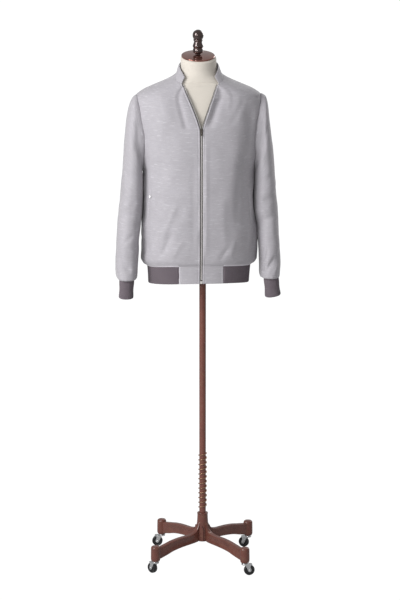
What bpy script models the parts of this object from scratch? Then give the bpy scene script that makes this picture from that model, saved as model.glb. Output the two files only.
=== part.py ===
"""Zip-front bomber jacket in pale grey slub cloth, hung on a limbless dress form with a
neck disc, a turned finial, a pole and a four-legged base on casters.

Metres, +Z up. The jacket faces -Y, so the wearer's right is -X. The origin is on the floor
under the middle of the jacket; the pole stands a little to the wearer's left of it.
"""

from collections import namedtuple
import math

import bmesh
import bpy
from mathutils import Matrix, Vector

# ---------------------------------------------------------------- driving dimensions
SHELL_WALL = 0.0020        # the suiting with its fusing
RIB_WALL = 0.0024          # the knit of the hem and the cuffs
SEAM = 0.0003              # gap between neighbouring pieces
ACROSS = 2.6               # squareness of the torso's sections
GIRTH_RADIUS = 0.155       # turns an angle round the torso into a distance for the folds

ARM_BOTTOM = 1.400         # underarm point
ARM_TOP = 1.656            # shoulder point
ARM_HALF_DEPTH = 0.064     # half of the armhole from front to back
ARM_STEPS = 10             # steps up each side of an armhole

HEM_Z = 1.0075             # lower edge of the hem rib at the sides
RIB_TOP_Z = 1.0665         # seam between the body and the hem rib at the sides
NECK_POINT_Z = 1.729       # where the shoulder seam meets the collar
NECK_CORNER_Z = 1.700      # top of the zip, at the collar's front corner
NECK_BACK_RISE = 0.008     # the neck seam is this much higher at the centre back
NECK_CORNER_X = 0.0625
ZIP_HALF_GAP = 0.0065      # from the centre to each front's edge below the slider
SLIDER_Z = 1.548
V_CURVE = 1.18             # above 1 the opening widens faster towards the collar
TAB_X = 0.0755             # side edge of each front's hem tab
TAB_COLUMNS = 2
FRONT_COLUMNS = 10
BACK_COLUMNS = 18

HEM_RIBS = 84
CUFF_RIBS = 24
RIB_RELIEF = 0.0007
SLEEVE_SQUARE = 2.3        # squareness of the sleeves' sections
CUFF_SQUARE = 2.2
LEFT_CUFF_TILT = 0.0045    # the wearer's left cuff rises outward by this on each side

COLLAR_WALL = 0.0022
COLLAR_GAP = 0.0005
COLLAR_TOP_HALF = 0.0663   # half width and depths of the collar's upper edge
COLLAR_TOP_FRONT = 0.1020
COLLAR_TOP_BACK = 0.0605
COLLAR_CORNER_X = 0.0510
COLLAR_CORNER_Z = 1.7265
COLLAR_SIDE_Z = 1.757
COLLAR_BACK_Z = 1.768

TAPE_HIDDEN = 0.0080       # under the front
TAPE_SHOWN = 0.0030
TAPE_WALL = 0.0009
TAPE_GAP = 0.0006          # behind the front's wall
TEETH_WIDTH = 0.0029
TEETH_FRONT = 0.0015       # how far the teeth stand in front of the tape
TEETH_BACK = 0.0004
PLATE_HALF = Vector((0.0046, 0.0009, 0.0068))
PIN_R = 0.0009
PIN_OUT = 0.0030           # from the plate's face to the pin
PIN_UP = 0.0030            # from the plate's middle to the pin
EYE_R = 0.0022
PULL_LONG = 0.0210
PULL_HALF_WIDTH = 0.0026
PULL_HALF_THICK = 0.0006

WELT_HALF_ANGLE = 2.4      # degrees
WELT_WALL = 0.0014
WELT_GAP = 0.0006
SNAP_Z = 1.318
SNAP_R = 0.0040
SNAP_THICK = 0.0016

FORM_COLUMNS = 20
POLE_X = 0.014
POLE_R = 0.0116
POLE_FOOT_Z = 0.1773
FORM_BOTTOM_Z = 1.072
COIL_TOP_Z = 0.396
COIL_PITCH = 0.0172
COIL_TURNS = 11.8
COIL_WIRE_R = 0.0019

HUB_TOP_Z = 0.1770
LEG_REACH = 0.219          # pole axis to caster axis
LEG_ANGLES = (37.4, 127.4, 217.4, 307.4)
BOSS_R = 0.0160
BOSS_BOTTOM_Z = 0.0470
BOSS_TOP_Z = 0.1000
WHEEL_R = 0.0190
WHEEL_SIDES = 16
WHEEL_HALF_WIDTH = 0.0080
WHEEL_FLAT_R = WHEEL_R * math.cos(math.pi / WHEEL_SIDES)
CASTER_TRAIL = 0.0160
AXLE_R = 0.0030
CHEEK_WALL = 0.0014
CHEEK_GAP = 0.0007         # between a wheel and its fork's cheek

DISC_TILT = math.radians(12.2)
DISC_R = 0.0565
DISC_CENTRE = Vector((-0.0015, 0.0, 1.7845))
DISC_THICK = 0.005
FINIAL_TOP_Z = 1.873

# ---------------------------------------------------------------- tables
Torso = namedtuple("Torso", "z half_width front back")
TORSO = (
    Torso(1.0075, 0.1735, 0.1180, 0.1120),
    Torso(1.0665, 0.1765, 0.1215, 0.1160),
    Torso(1.0760, 0.1900, 0.1265, 0.1230),
    Torso(1.0920, 0.1975, 0.1300, 0.1280),
    Torso(1.1400, 0.1965, 0.1325, 0.1300),
    Torso(1.2000, 0.1965, 0.1345, 0.1300),
    Torso(1.2600, 0.1930, 0.1365, 0.1290),
    Torso(1.3300, 0.1910, 0.1385, 0.1280),
    Torso(1.4000, 0.1905, 0.1395, 0.1290),
    Torso(1.4600, 0.2020, 0.1370, 0.1290),
    Torso(1.5280, 0.2106, 0.1310, 0.1270),
    Torso(1.5950, 0.2185, 0.1180, 0.1210),
    Torso(1.6300, 0.2180, 0.1060, 0.1120),
    Torso(1.6560, 0.2100, 0.0960, 0.1020),
    Torso(1.6665, 0.1970, 0.0915, 0.0970),
    Torso(1.6770, 0.1790, 0.0875, 0.0920),
    Torso(1.6900, 0.1480, 0.0830, 0.0860),
    Torso(1.7040, 0.1140, 0.0790, 0.0810),
    Torso(1.7160, 0.0905, 0.0755, 0.0745),
    Torso(1.7290, 0.0745, 0.0720, 0.0680),
    Torso(1.7450, 0.0700, 0.0700, 0.0650),
)

Lift = namedtuple("Lift", "z front back")
HEM_LIFT = (               # how far the hem rides up at the centre front and back
    Lift(1.0075, 0.0150, 0.0040),
    Lift(1.0665, 0.0165, 0.0050),
    Lift(1.2500, 0.0000, 0.0000),
)

Fold = namedtuple("Fold", "angle0 z0 angle1 z1 width depth")
BODY_FOLDS = (             # angles in degrees from the centre front, wearer's left positive
    Fold(-25, 1.675, -10, 1.560, 0.018, -0.0042),
    Fold(-38, 1.650, -31, 1.560, 0.022, 0.0030),
    Fold(-11, 1.310, -33, 1.130, 0.020, -0.0034),
    Fold(-17, 1.230, -26, 1.120, 0.018, 0.0024),
    Fold(24, 1.672, 12, 1.580, 0.018, -0.0045),
    Fold(31, 1.630, 27, 1.330, 0.026, 0.0032),
    Fold(48, 1.590, 45, 1.240, 0.026, -0.0036),
    Fold(79, 1.320, 84, 1.268, 0.024, -0.0065),
    Fold(-84, 1.160, -62, 1.146, 0.018, -0.0028),
    Fold(88, 1.180, 90, 1.110, 0.042, 0.0060),
    Fold(140, 1.600, 152, 1.380, 0.026, 0.0035),
    Fold(-142, 1.590, -150, 1.360, 0.026, 0.0035),
    Fold(170, 1.480, 164, 1.180, 0.024, -0.0032),
    Fold(-163, 1.300, -172, 1.140, 0.024, -0.0030),
    Fold(120, 1.250, 138, 1.140, 0.020, -0.0030),
    Fold(-118, 1.220, -134, 1.140, 0.026, -0.0024),
)

Sleeve = namedtuple("Sleeve", "inner_z outer_z inner_r outer_r inner_l outer_l half_depth centre_y")
SLEEVE = (                 # x of the inner and outer edge, wearer's right and left
    Sleeve(1.3980, 1.6480, 0.1910, 0.2210, 0.1910, 0.2270, 0.0680, 0.000),
    Sleeve(1.3960, 1.6320, 0.1915, 0.2305, 0.1915, 0.2330, 0.0720, 0.000),
    Sleeve(1.3930, 1.6030, 0.1920, 0.2392, 0.1920, 0.2375, 0.0755, 0.000),
    Sleeve(1.3880, 1.5650, 0.1930, 0.2455, 0.1930, 0.2415, 0.0780, 0.000),
    Sleeve(1.3800, 1.5200, 0.1935, 0.2505, 0.1935, 0.2468, 0.0785, 0.000),
    Sleeve(1.3660, 1.4650, 0.1935, 0.2550, 0.1935, 0.2540, 0.0790, 0.000),
    Sleeve(1.3450, 1.4000, 0.1938, 0.2590, 0.1938, 0.2590, 0.0785, -0.001),
    Sleeve(1.3100, 1.3400, 0.1942, 0.2652, 0.1942, 0.2642, 0.0770, -0.003),
    Sleeve(1.2650, 1.2810, 0.1955, 0.2710, 0.1955, 0.2682, 0.0750, -0.005),
    Sleeve(1.2150, 1.2250, 0.1995, 0.2770, 0.1995, 0.2722, 0.0720, -0.008),
    Sleeve(1.1650, 1.1700, 0.2040, 0.2815, 0.2040, 0.2755, 0.0680, -0.012),
    Sleeve(1.1130, 1.1150, 0.2070, 0.2848, 0.2060, 0.2780, 0.0640, -0.018),
    Sleeve(1.0750, 1.0700, 0.2095, 0.2862, 0.2065, 0.2790, 0.0600, -0.023),
    Sleeve(1.0450, 1.0450, 0.2120, 0.2855, 0.2070, 0.2785, 0.0570, -0.027),
    Sleeve(1.0330, 1.0330, 0.2140, 0.2825, 0.2080, 0.2770, 0.0550, -0.030),
    Sleeve(1.0277, 1.0277, 0.2190, 0.2780, 0.2130, 0.2745, 0.0480, -0.033),
)
SLEEVE_FOLDS = (           # angles round the sleeve: 0 outside, 90 front, 180 inside, 270 back
    Fold(60, 1.545, 115, 1.450, 0.012, -0.0030),
    Fold(20, 1.330, 95, 1.300, 0.013, -0.0032),
    Fold(60, 1.250, 130, 1.225, 0.012, -0.0030),
    Fold(200, 1.320, 290, 1.290, 0.014, -0.0035),
    Fold(300, 1.500, 250, 1.400, 0.014, -0.0030),
    Fold(35, 1.120, 90, 1.075, 0.012, -0.0028),
)

Cuff = namedtuple("Cuff", "inner_z outer_z inner_r outer_r inner_l outer_l half_depth centre_y")
CUFF_TOP = Cuff(1.0267, 1.0267, 0.2245, 0.2730, 0.2225, 0.2715, 0.0360, -0.036)
CUFF_BOTTOM = Cuff(0.9645, 0.9645, 0.2285, 0.2755, 0.2270, 0.2780, 0.0370, -0.043)

Ring = namedtuple("Ring", "z half_width front back square lean")
FORM = (                   # lean: share of the neck's forward tilt taken by this ring
    Ring(1.0720, 0.120, 0.085, 0.080, 2.4, 0.0),
    Ring(1.0790, 0.139, 0.099, 0.093, 2.4, 0.0),
    Ring(1.1100, 0.151, 0.107, 0.100, 2.5, 0.0),
    Ring(1.2200, 0.150, 0.106, 0.102, 2.5, 0.0),
    Ring(1.3300, 0.160, 0.116, 0.108, 2.6, 0.0),
    Ring(1.4300, 0.172, 0.122, 0.114, 2.6, 0.0),
    Ring(1.5200, 0.180, 0.119, 0.115, 2.6, 0.0),
    Ring(1.5900, 0.187, 0.106, 0.108, 2.6, 0.0),
    Ring(1.6300, 0.192, 0.094, 0.101, 2.6, 0.0),
    Ring(1.6520, 0.1945, 0.0860, 0.0945, 2.6, 0.0),
    Ring(1.6635, 0.1895, 0.0820, 0.0905, 2.6, 0.0),
    Ring(1.6740, 0.1735, 0.0785, 0.0865, 2.6, 0.0),
    Ring(1.6871, 0.1425, 0.0740, 0.0810, 2.6, 0.0),
    Ring(1.7010, 0.1085, 0.0700, 0.0755, 2.5, 0.0),
    Ring(1.7130, 0.0850, 0.0670, 0.0690, 2.3, 0.0),
    Ring(1.7225, 0.0700, 0.0640, 0.0620, 2.1, 0.0),
    Ring(1.7320, 0.0645, 0.0620, 0.0585, 2.0, 0.1),
    Ring(1.7460, 0.0610, 0.0605, 0.0565, 2.0, 0.5),
    Ring(1.7640, 0.0605, 0.0605, 0.0575, 2.0, 1.0),
    Ring(1.7765, 0.0600, 0.0605, 0.0585, 2.0, 1.0),
    Ring(1.7816, 0.0575, 0.0580, 0.0570, 2.0, 1.0),
)

Turned = namedtuple("Turned", "down r")
FINIAL = (                 # distance below the finial's top, radius
    Turned(0.0000, 0.0001), Turned(0.0020, 0.0080), Turned(0.0080, 0.0153),
    Turned(0.0180, 0.0188), Turned(0.0280, 0.0172), Turned(0.0330, 0.0160),
    Turned(0.0365, 0.0166), Turned(0.0385, 0.0146), Turned(0.0440, 0.0147),
    Turned(0.0500, 0.0168), Turned(0.0560, 0.0182), Turned(0.0605, 0.0168),
    Turned(0.0630, 0.0156), Turned(0.0665, 0.0171), Turned(0.0735, 0.0178),
    Turned(0.0780, 0.0165), Turned(0.0808, 0.0108), Turned(0.0835, 0.0097),
)
HUB = (                    # distance below the hub's top, radius
    Turned(0.0000, 0.0168), Turned(0.0025, 0.0188), Turned(0.0300, 0.0192),
    Turned(0.0520, 0.0208), Turned(0.0680, 0.0232), Turned(0.0950, 0.0236),
    Turned(0.1020, 0.0205),
)

Leg = namedtuple("Leg", "reach low high half_width")
LEG = (                    # from the hub to the caster boss
    Leg(0.0245, 0.0755, 0.1290, 0.0070),
    Leg(0.0400, 0.0745, 0.1130, 0.0085),
    Leg(0.0700, 0.0735, 0.1065, 0.0095),
    Leg(0.1050, 0.0715, 0.1060, 0.0095),
    Leg(0.1400, 0.0670, 0.1035, 0.0090),
    Leg(0.1750, 0.0580, 0.0975, 0.0085),
    Leg(0.2070, 0.0520, 0.0930, 0.0080),
)

Caster = namedtuple("Caster", "name trail_angle")
CASTERS = (Caster("rear_left", 150.0), Caster("rear_right", 170.0),
           Caster("front_right", 130.0), Caster("front_left", 10.0))

# name: base colour, roughness, metallic
FINISHES = {
    "slub_cloth": ((0.55, 0.54, 0.56), 0.80, 0.0),
    "rib_knit": ((0.16, 0.14, 0.15), 0.90, 0.0),
    "zip_tape": ((0.06, 0.05, 0.04), 0.85, 0.0),
    "zip_metal": ((0.62, 0.57, 0.48), 0.30, 1.0),
    "snap_metal": ((0.80, 0.79, 0.80), 0.25, 1.0),
    "form_linen": ((0.78, 0.74, 0.67), 0.85, 0.0),
    "dark_bronze": ((0.13, 0.07, 0.06), 0.15, 1.0),
    "copper_disc": ((0.34, 0.20, 0.17), 0.12, 1.0),
    "brown_paint": ((0.16, 0.075, 0.055), 0.38, 0.3),
    "bright_steel": ((0.66, 0.67, 0.69), 0.28, 1.0),
    "black_rubber": ((0.02, 0.02, 0.02), 0.60, 0.0),
}


# ---------------------------------------------------------------- scene helpers
def clear_scene():
    for obj in list(bpy.data.objects):
        bpy.data.objects.remove(obj, do_unlink=True)


def finish_material(name):
    material = bpy.data.materials.get(name)
    if material is None:
        colour, roughness, metallic = FINISHES[name]
        material = bpy.data.materials.new(name)
        material.use_nodes = True
        shader = material.node_tree.nodes["Principled BSDF"]
        shader.inputs["Base Color"].default_value = (*colour, 1.0)
        shader.inputs["Roughness"].default_value = roughness
        shader.inputs["Metallic"].default_value = metallic
    return material


def new_collection(name):
    collection = bpy.data.collections.new(name)
    bpy.context.scene.collection.children.link(collection)
    return collection


def add_object(name, mesh, finish, collection, parent=None, smooth=True):
    obj = bpy.data.objects.new(name, mesh)
    mesh.materials.append(finish_material(finish))
    if smooth:
        mesh.shade_smooth()
        mesh.set_sharp_from_angle(angle=math.radians(40))
    collection.objects.link(obj)
    if parent is not None:
        obj.parent = parent
    return obj


def add_empty(name, location, collection):
    empty = bpy.data.objects.new(name, None)
    empty.location = location
    empty.empty_display_size = 0.02
    collection.objects.link(empty)
    return empty


# ---------------------------------------------------------------- reading the tables
def read(table, column, z):
    """A smooth value of one column between the rows of a table sorted by z."""
    heights = [row.z for row in table]
    values = [getattr(row, column) for row in table]
    if z <= heights[0]:
        return values[0]
    if z >= heights[-1]:
        return values[-1]
    i = max(k for k, height in enumerate(heights) if height <= z)
    rise = [(values[k + 1] - values[k]) / (heights[k + 1] - heights[k])
            for k in range(len(values) - 1)]

    def slope(k):
        if k == 0 or k == len(values) - 1 or rise[k - 1] * rise[k] <= 0:
            return 0.0
        return 2 * rise[k - 1] * rise[k] / (rise[k - 1] + rise[k])

    span = heights[i + 1] - heights[i]
    t = (z - heights[i]) / span
    return (values[i] * (1 + 2 * t) * (1 - t) ** 2 + values[i + 1] * t * t * (3 - 2 * t)
            + span * slope(i) * t * (1 - t) ** 2 - span * slope(i + 1) * t * t * (1 - t))


def signed_power(value, power):
    return math.copysign(abs(value) ** power, value)


def fold_push(folds, angle, z, radius):
    """How far the folds move the cloth out at an angle (degrees) and a height."""
    push = 0.0
    for fold in folds:
        along = Vector((math.radians(fold.angle1 - fold.angle0) * radius, fold.z1 - fold.z0))
        turn = (angle - fold.angle0 + 180) % 360 - 180
        here = Vector((math.radians(turn) * radius, z - fold.z0))
        t = min(max(here.dot(along) / along.length_squared, 0.0), 1.0)
        distance = (here - along * t).length
        push += fold.depth * math.exp(-(distance / fold.width) ** 2)
    return push


# ---------------------------------------------------------------- torso surface
def hem_lift(angle, z):
    cosine = math.cos(angle)
    return abs(cosine) ** 1.5 * read(HEM_LIFT, "front" if cosine > 0 else "back", z)


def torso_point(angle, z):
    """The jacket's outer surface: angle 0 is the centre front, +90 degrees the wearer's left."""
    half = read(TORSO, "half_width", z)
    depth = read(TORSO, "front" if math.cos(angle) > 0 else "back", z)
    x = half * signed_power(math.sin(angle), 2 / ACROSS)
    y = -depth * math.cos(angle)
    out = Vector((math.copysign((abs(x) / half) ** (ACROSS - 1) * ACROSS / half, x),
                  2 * y / depth ** 2, 0)).normalized()
    push = fold_push(BODY_FOLDS, math.degrees(angle), z, GIRTH_RADIUS)
    return Vector((x, y, z + hem_lift(angle, z))) + out * push


def torso_normal(angle, z):
    step = 0.0005
    across = torso_point(angle + step, z) - torso_point(angle - step, z)
    up = torso_point(angle, z + step) - torso_point(angle, z - step)
    return across.cross(up).normalized()


def angle_of_x(x, z):
    half = read(TORSO, "half_width", z)
    return math.asin(min(1.0, (x / half) ** (ACROSS / 2)))


def armhole_angle(z, column):
    """Where the armhole crosses a height, measured from the side seam's 90 degrees."""
    middle, half = (ARM_TOP + ARM_BOTTOM) / 2, (ARM_TOP - ARM_BOTTOM) / 2
    rise = min(max((z - middle) / half, -1.0), 1.0)
    return math.asin(ARM_HALF_DEPTH * math.sqrt(1 - rise * rise) / read(TORSO, column, z))


def seam_shift(z, column):
    """The angle by which a panel stops short of a side or shoulder seam."""
    return 0.55 * SEAM / read(TORSO, column, z)


def arm_heights():
    middle, half = (ARM_TOP + ARM_BOTTOM) / 2, (ARM_TOP - ARM_BOTTOM) / 2
    return [middle - half * math.cos(math.pi * k / ARM_STEPS) for k in range(ARM_STEPS + 1)]


def body_levels():
    lower = [RIB_TOP_Z, 1.076, 1.092, 1.125, 1.165, 1.210, 1.255, 1.305, 1.355]
    shoulder = [1.6665, 1.6770, 1.6900, 1.7040, 1.7165, NECK_POINT_Z]
    return lower + arm_heights() + shoulder


def zip_edge_x(z):
    """Distance from the centre to the front's edge: the closed zip, then the open V."""
    if z <= SLIDER_Z:
        return ZIP_HALF_GAP
    t = (z - SLIDER_Z) / (NECK_CORNER_Z - SLIDER_Z)
    return ZIP_HALF_GAP + (NECK_CORNER_X - ZIP_HALF_GAP) * min(t, 1.0) ** V_CURVE


def neck_drop(z):
    """How far a front's row falls from the side to the centre, so the top row is the neck seam."""
    start = 1.520
    share = max(0.0, z - start) / (NECK_POINT_Z - start)
    return (NECK_POINT_Z - NECK_CORNER_Z) * share ** 1.5


# ---------------------------------------------------------------- cloth walls
def split(grid, loop, columns):
    """A cell's two triangles, cut along its shorter diagonal so both faces of a wall match."""
    a, b, c, d = [grid[i][j % columns] for i, j in loop]
    if (c - a).length <= (d - b).length:
        return (loop[0], loop[1], loop[2]), (loop[0], loop[2], loop[3])
    return (loop[0], loop[1], loop[3]), (loop[1], loop[2], loop[3])


def wall_mesh(name, outer, inner, wrap=False, keep=None):
    """A closed wall between two grids of points. keep(row, column) says which cells exist."""
    rows, columns = len(outer), len(outer[0])
    cells = [(i, j) for i in range(rows - 1) for j in range(columns if wrap else columns - 1)
             if keep is None or keep(i, j)]
    corners = {}
    mesh = bmesh.new()

    def corner(i, j, side):
        key = (i, j % columns, side)
        if key not in corners:
            grid = outer if side == 0 else inner
            corners[key] = mesh.verts.new(grid[i][j % columns])
        return corners[key]

    edges = {}
    for i, j in cells:
        loop = ((i, j), (i, j + 1), (i + 1, j + 1), (i + 1, j))
        for triangle in split(outer, loop, columns):
            mesh.faces.new([corner(a, b, 0) for a, b in triangle])
            mesh.faces.new([corner(a, b, 1) for a, b in reversed(triangle)])
        for k in range(4):
            a = (loop[k][0], loop[k][1] % columns)
            b = (loop[(k + 1) % 4][0], loop[(k + 1) % 4][1] % columns)
            if (b, a) in edges:
                del edges[(b, a)]
            else:
                edges[(a, b)] = True
    for a, b in edges:
        mesh.faces.new([corner(*a, 0), corner(*a, 1), corner(*b, 1), corner(*b, 0)])
    bmesh.ops.recalc_face_normals(mesh, faces=mesh.faces)
    data = bpy.data.meshes.new(name)
    mesh.to_mesh(data)
    mesh.free()
    return data


def grid_normals(grid, wrap, inside):
    """Normals of a grid of points, turned away from the point inside(row)."""
    rows, columns = len(grid), len(grid[0])
    normals = []
    for i in range(rows):
        line = []
        for j in range(columns):
            right = (j + 1) % columns if wrap else min(j + 1, columns - 1)
            left = (j - 1) % columns if wrap else max(j - 1, 0)
            across = grid[i][right] - grid[i][left]
            up = grid[min(i + 1, rows - 1)][j] - grid[max(i - 1, 0)][j]
            normal = across.cross(up).normalized()
            if normal.dot(grid[i][j] - inside(i)) < 0:
                normal.negate()
            line.append(normal)
        normals.append(line)
    return normals


def moved(grid, normals, distance):
    return [[p + n * distance for p, n in zip(line, ways)] for line, ways in zip(grid, normals)]


def torso_grid(places):
    """Points and normals of the torso at a grid of (angle, height) places."""
    points = [[torso_point(*place) for place in line] for line in places]
    normals = [[torso_normal(*place) for place in line] for line in places]
    return points, normals


# ---------------------------------------------------------------- body panels
def front_places(side):
    """(angle, height) of a front's grid. side is -1 for the wearer's right, +1 for the left."""
    tab_levels = [HEM_Z, 1.039]
    levels = tab_levels + body_levels()
    angle_at_tab = angle_of_x(TAB_X, RIB_TOP_Z)
    edge_at_tab = angle_of_x(ZIP_HALF_GAP, RIB_TOP_Z)
    tab_share = (angle_at_tab - edge_at_tab) / (math.pi / 2 - edge_at_tab)
    places = []
    for z in levels:
        drop = neck_drop(z)
        start = angle_of_x(zip_edge_x(z - drop), z - drop)
        end = math.pi / 2 - armhole_angle(z, "front") - seam_shift(z, "front")
        tab = angle_of_x(TAB_X, z) if z <= RIB_TOP_Z else start + (end - start) * tab_share
        line = []
        for j in range(FRONT_COLUMNS + 1):
            if j <= TAB_COLUMNS:
                share = j / TAB_COLUMNS
                angle = start + (tab - start) * share
            else:
                share = (j - TAB_COLUMNS) / (FRONT_COLUMNS - TAB_COLUMNS)
                angle = tab + (end - tab) * share
            line.append((side * angle, z - drop * (1 - j / FRONT_COLUMNS)))
        places.append(line)
    return places, len(tab_levels)


def back_places():
    levels = body_levels()
    places = []
    for z in levels:
        reach = math.pi / 2 + armhole_angle(z, "back") + seam_shift(z, "back")
        height = max(0.0, z - 1.62) / (NECK_POINT_Z - 1.62)
        line = []
        for j in range(BACK_COLUMNS + 1):
            share = j / BACK_COLUMNS
            angle = reach + (2 * math.pi - 2 * reach) * share
            line.append((angle, z + NECK_BACK_RISE * height ** 2 * math.sin(math.pi * share)))
        places.append(line)
    return places


def make_front(side, name, collection):
    places, tab_rows = front_places(side)
    outer, normals = torso_grid(places)
    inner = moved(outer, normals, -SHELL_WALL)

    def keep(i, j):
        return i >= tab_rows or j < TAB_COLUMNS

    add_object(name, wall_mesh(name, outer, inner, keep=keep), "slub_cloth", collection)


def make_back(collection):
    outer, normals = torso_grid(back_places())
    inner = moved(outer, normals, -SHELL_WALL)
    add_object("back", wall_mesh("back", outer, inner), "slub_cloth", collection)


# ---------------------------------------------------------------- collar
def neck_seam():
    """Points of the neck seam from the right front corner round the back to the left one."""
    right = [torso_point(*place) for place in front_places(-1)[0][-1]]
    left = [torso_point(*place) for place in front_places(1)[0][-1]]
    back = [torso_point(*place) for place in back_places()[-1]]
    middle_r = (right[-1] + back[-1]) / 2
    middle_l = (left[-1] + back[0]) / 2
    return right[:-1] + [middle_r] + back[-2:0:-1] + [middle_l] + left[-2::-1]


def collar_top_points(seam):
    """The collar's upper edge, one point above each point of the neck seam."""
    lengths = [0.0]
    for a, b in zip(seam, seam[1:]):
        lengths.append(lengths[-1] + (b - a).length)
    corner = math.asin(COLLAR_CORNER_X / COLLAR_TOP_HALF)
    side_at = FRONT_COLUMNS
    tops = []
    for k, length in enumerate(lengths):
        mirror_k = min(k, len(seam) - 1 - k)
        side = -1 if k < len(seam) / 2 else 1
        if mirror_k <= side_at:
            share = lengths[mirror_k] / lengths[side_at]
            angle = corner + (math.pi / 2 - corner) * share
            depth = COLLAR_TOP_FRONT
            rise = share ** 0.8
            z = COLLAR_CORNER_Z + (COLLAR_SIDE_Z - COLLAR_CORNER_Z) * rise
        else:
            half_length = lengths[-1] / 2
            share = (lengths[mirror_k] - lengths[side_at]) / (half_length - lengths[side_at])
            angle = math.pi / 2 * (1 + share)
            depth = COLLAR_TOP_BACK
            z = COLLAR_SIDE_Z + (COLLAR_BACK_Z - COLLAR_SIDE_Z) * math.sin(math.pi / 2 * share)
        x = side * COLLAR_TOP_HALF * math.sin(angle)
        tops.append(Vector((x, -depth * math.cos(angle), z)))
    return tops


def make_collar(collection):
    seam = neck_seam()
    tops = collar_top_points(seam)
    outer = []
    for share in (0.0, 0.45, 1.0):
        line = []
        for low, high in zip(seam, tops):
            rise = high - low
            point = low + rise * share
            point = point + rise.normalized() * COLLAR_GAP * (1 - share)
            line.append(point)
        outer.append(line)
    normals = grid_normals(outer, False, lambda i: Vector((0, 0, outer[i][0].z)))
    inner = moved(outer, normals, -COLLAR_WALL)
    add_object("collar", wall_mesh("collar", outer, inner), "slub_cloth", collection)


# ---------------------------------------------------------------- sleeves and cuffs
def oval(row, side, angle, square):
    """A point of a sleeve's or cuff's ring: angle 0 outside, 90 degrees front, 180 inside."""
    inner_x = row.inner_r if side < 0 else row.inner_l
    outer_x = row.outer_r if side < 0 else row.outer_l
    inner = Vector((side * inner_x, row.centre_y, row.inner_z))
    outer = Vector((side * outer_x, row.centre_y, row.outer_z))
    along = signed_power(math.cos(angle), 2 / square)
    deep = signed_power(math.sin(angle), 2 / square)
    return (inner + outer) / 2 + (outer - inner) / 2 * along + Vector((0, -row.half_depth * deep, 0))


def armhole_ring(side):
    """The sleeve's first ring: the armhole's points, a seam's gap outside the panels."""
    heights = arm_heights()[::-1]
    ring = []
    for z in heights:
        ring.append(torso_point(side * (math.pi / 2 - armhole_angle(z, "front")), z))
    for z in heights[-2:0:-1]:
        ring.append(torso_point(side * (math.pi / 2 + armhole_angle(z, "back")), z))
    return [p + Vector((side * SEAM, 0, 0)) for p in ring]


def cuff_row(side, share, shrink):
    """A cuff outline at a share of its height, drawn in by shrink."""
    values = []
    for top, bottom in zip(CUFF_TOP, CUFF_BOTTOM):
        values.append(top + (bottom - top) * share)
    row = Cuff(*values)
    tilt = LEFT_CUFF_TILT * share if side > 0 else 0.0
    return row._replace(inner_z=row.inner_z - tilt, outer_z=row.outer_z + tilt,
                        inner_r=row.inner_r + shrink, outer_r=row.outer_r - shrink,
                        inner_l=row.inner_l + shrink, outer_l=row.outer_l - shrink,
                        half_depth=row.half_depth - shrink)


def make_sleeve(side, name, collection):
    count = 2 * ARM_STEPS
    rings = [armhole_ring(side)]
    for row in SLEEVE:
        ring = []
        for k in range(count):
            angle = 2 * math.pi * k / count
            point = oval(row, side, angle, SLEEVE_SQUARE)
            push = fold_push(SLEEVE_FOLDS, math.degrees(angle), point.z, 0.055)
            centre = oval(row, side, 0, SLEEVE_SQUARE) + oval(row, side, math.pi, SLEEVE_SQUARE)
            ring.append(point + (point - centre / 2).normalized() * push)
        rings.append(ring)
    mouth = cuff_row(side, 0.0, RIB_WALL)
    lift = Vector((0, 0, SEAM))
    rings.append([oval(mouth, side, 2 * math.pi * k / count, CUFF_SQUARE) + lift for k in range(count)])
    middles = [sum(ring, Vector()) / count for ring in rings]
    normals = grid_normals(rings, True, lambda i: middles[i])
    normals[0] = [n.lerp(m, 0.5).normalized() for n, m in zip(normals[0], normals[1])]
    normals[-1] = [Vector((0, 0, -1)) for _ in rings[-1]]
    inner = moved(rings, normals, -SHELL_WALL)
    add_object(name, wall_mesh(name, rings, inner, wrap=True), "slub_cloth", collection)


def make_cuff(side, name, collection):
    count = 2 * CUFF_RIBS
    outer, inner = [], []
    for share in (0.0, 1.0):
        line, inside = [], []
        for k in range(count):
            angle = 2 * math.pi * k / count
            relief = RIB_RELIEF * (1 - k % 2)
            line.append(oval(cuff_row(side, share, -relief), side, angle, CUFF_SQUARE))
            inside.append(oval(cuff_row(side, share, RIB_WALL), side, angle, CUFF_SQUARE))
        outer.append(line)
        inner.append(inside)
    add_object(name, wall_mesh(name, outer, inner, wrap=True), "rib_knit", collection)


# ---------------------------------------------------------------- hem rib
def even_angles(z, start, end, count):
    """Angles from start to end that are the same distance apart along the torso."""
    fine = 720
    angles = [start + (end - start) * k / fine for k in range(fine + 1)]
    points = [torso_point(angle, z) for angle in angles]
    lengths = [0.0]
    for a, b in zip(points, points[1:]):
        lengths.append(lengths[-1] + (b - a).length)
    result, k = [], 0
    for step in range(count + 1):
        goal = lengths[-1] * step / count
        while k < fine - 1 and lengths[k + 1] < goal:
            k += 1
        share = (goal - lengths[k]) / (lengths[k + 1] - lengths[k])
        result.append(angles[k] + (angles[k + 1] - angles[k]) * share)
    return result


def rib_seam():
    """Angles and points of the body's lower edge, from the left tab round to the right one."""
    left, tab_rows = front_places(1)
    right = front_places(-1)[0]
    places = left[tab_rows][TAB_COLUMNS:] + back_places()[0]
    places += [(angle + 2 * math.pi, z) for angle, z in right[tab_rows][:TAB_COLUMNS - 1:-1]]
    return [(angle, torso_point(angle, z)) for angle, z in places]


def seam_point(seam, angle):
    """The point of the body's lower edge at an angle, on the straight line between its corners."""
    k = max([i for i, (corner, _) in enumerate(seam[:-1]) if corner <= angle], default=0)
    (start, low), (end, high) = seam[k], seam[k + 1]
    return low.lerp(high, min(max((angle - start) / (end - start), 0.0), 1.0))


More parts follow.
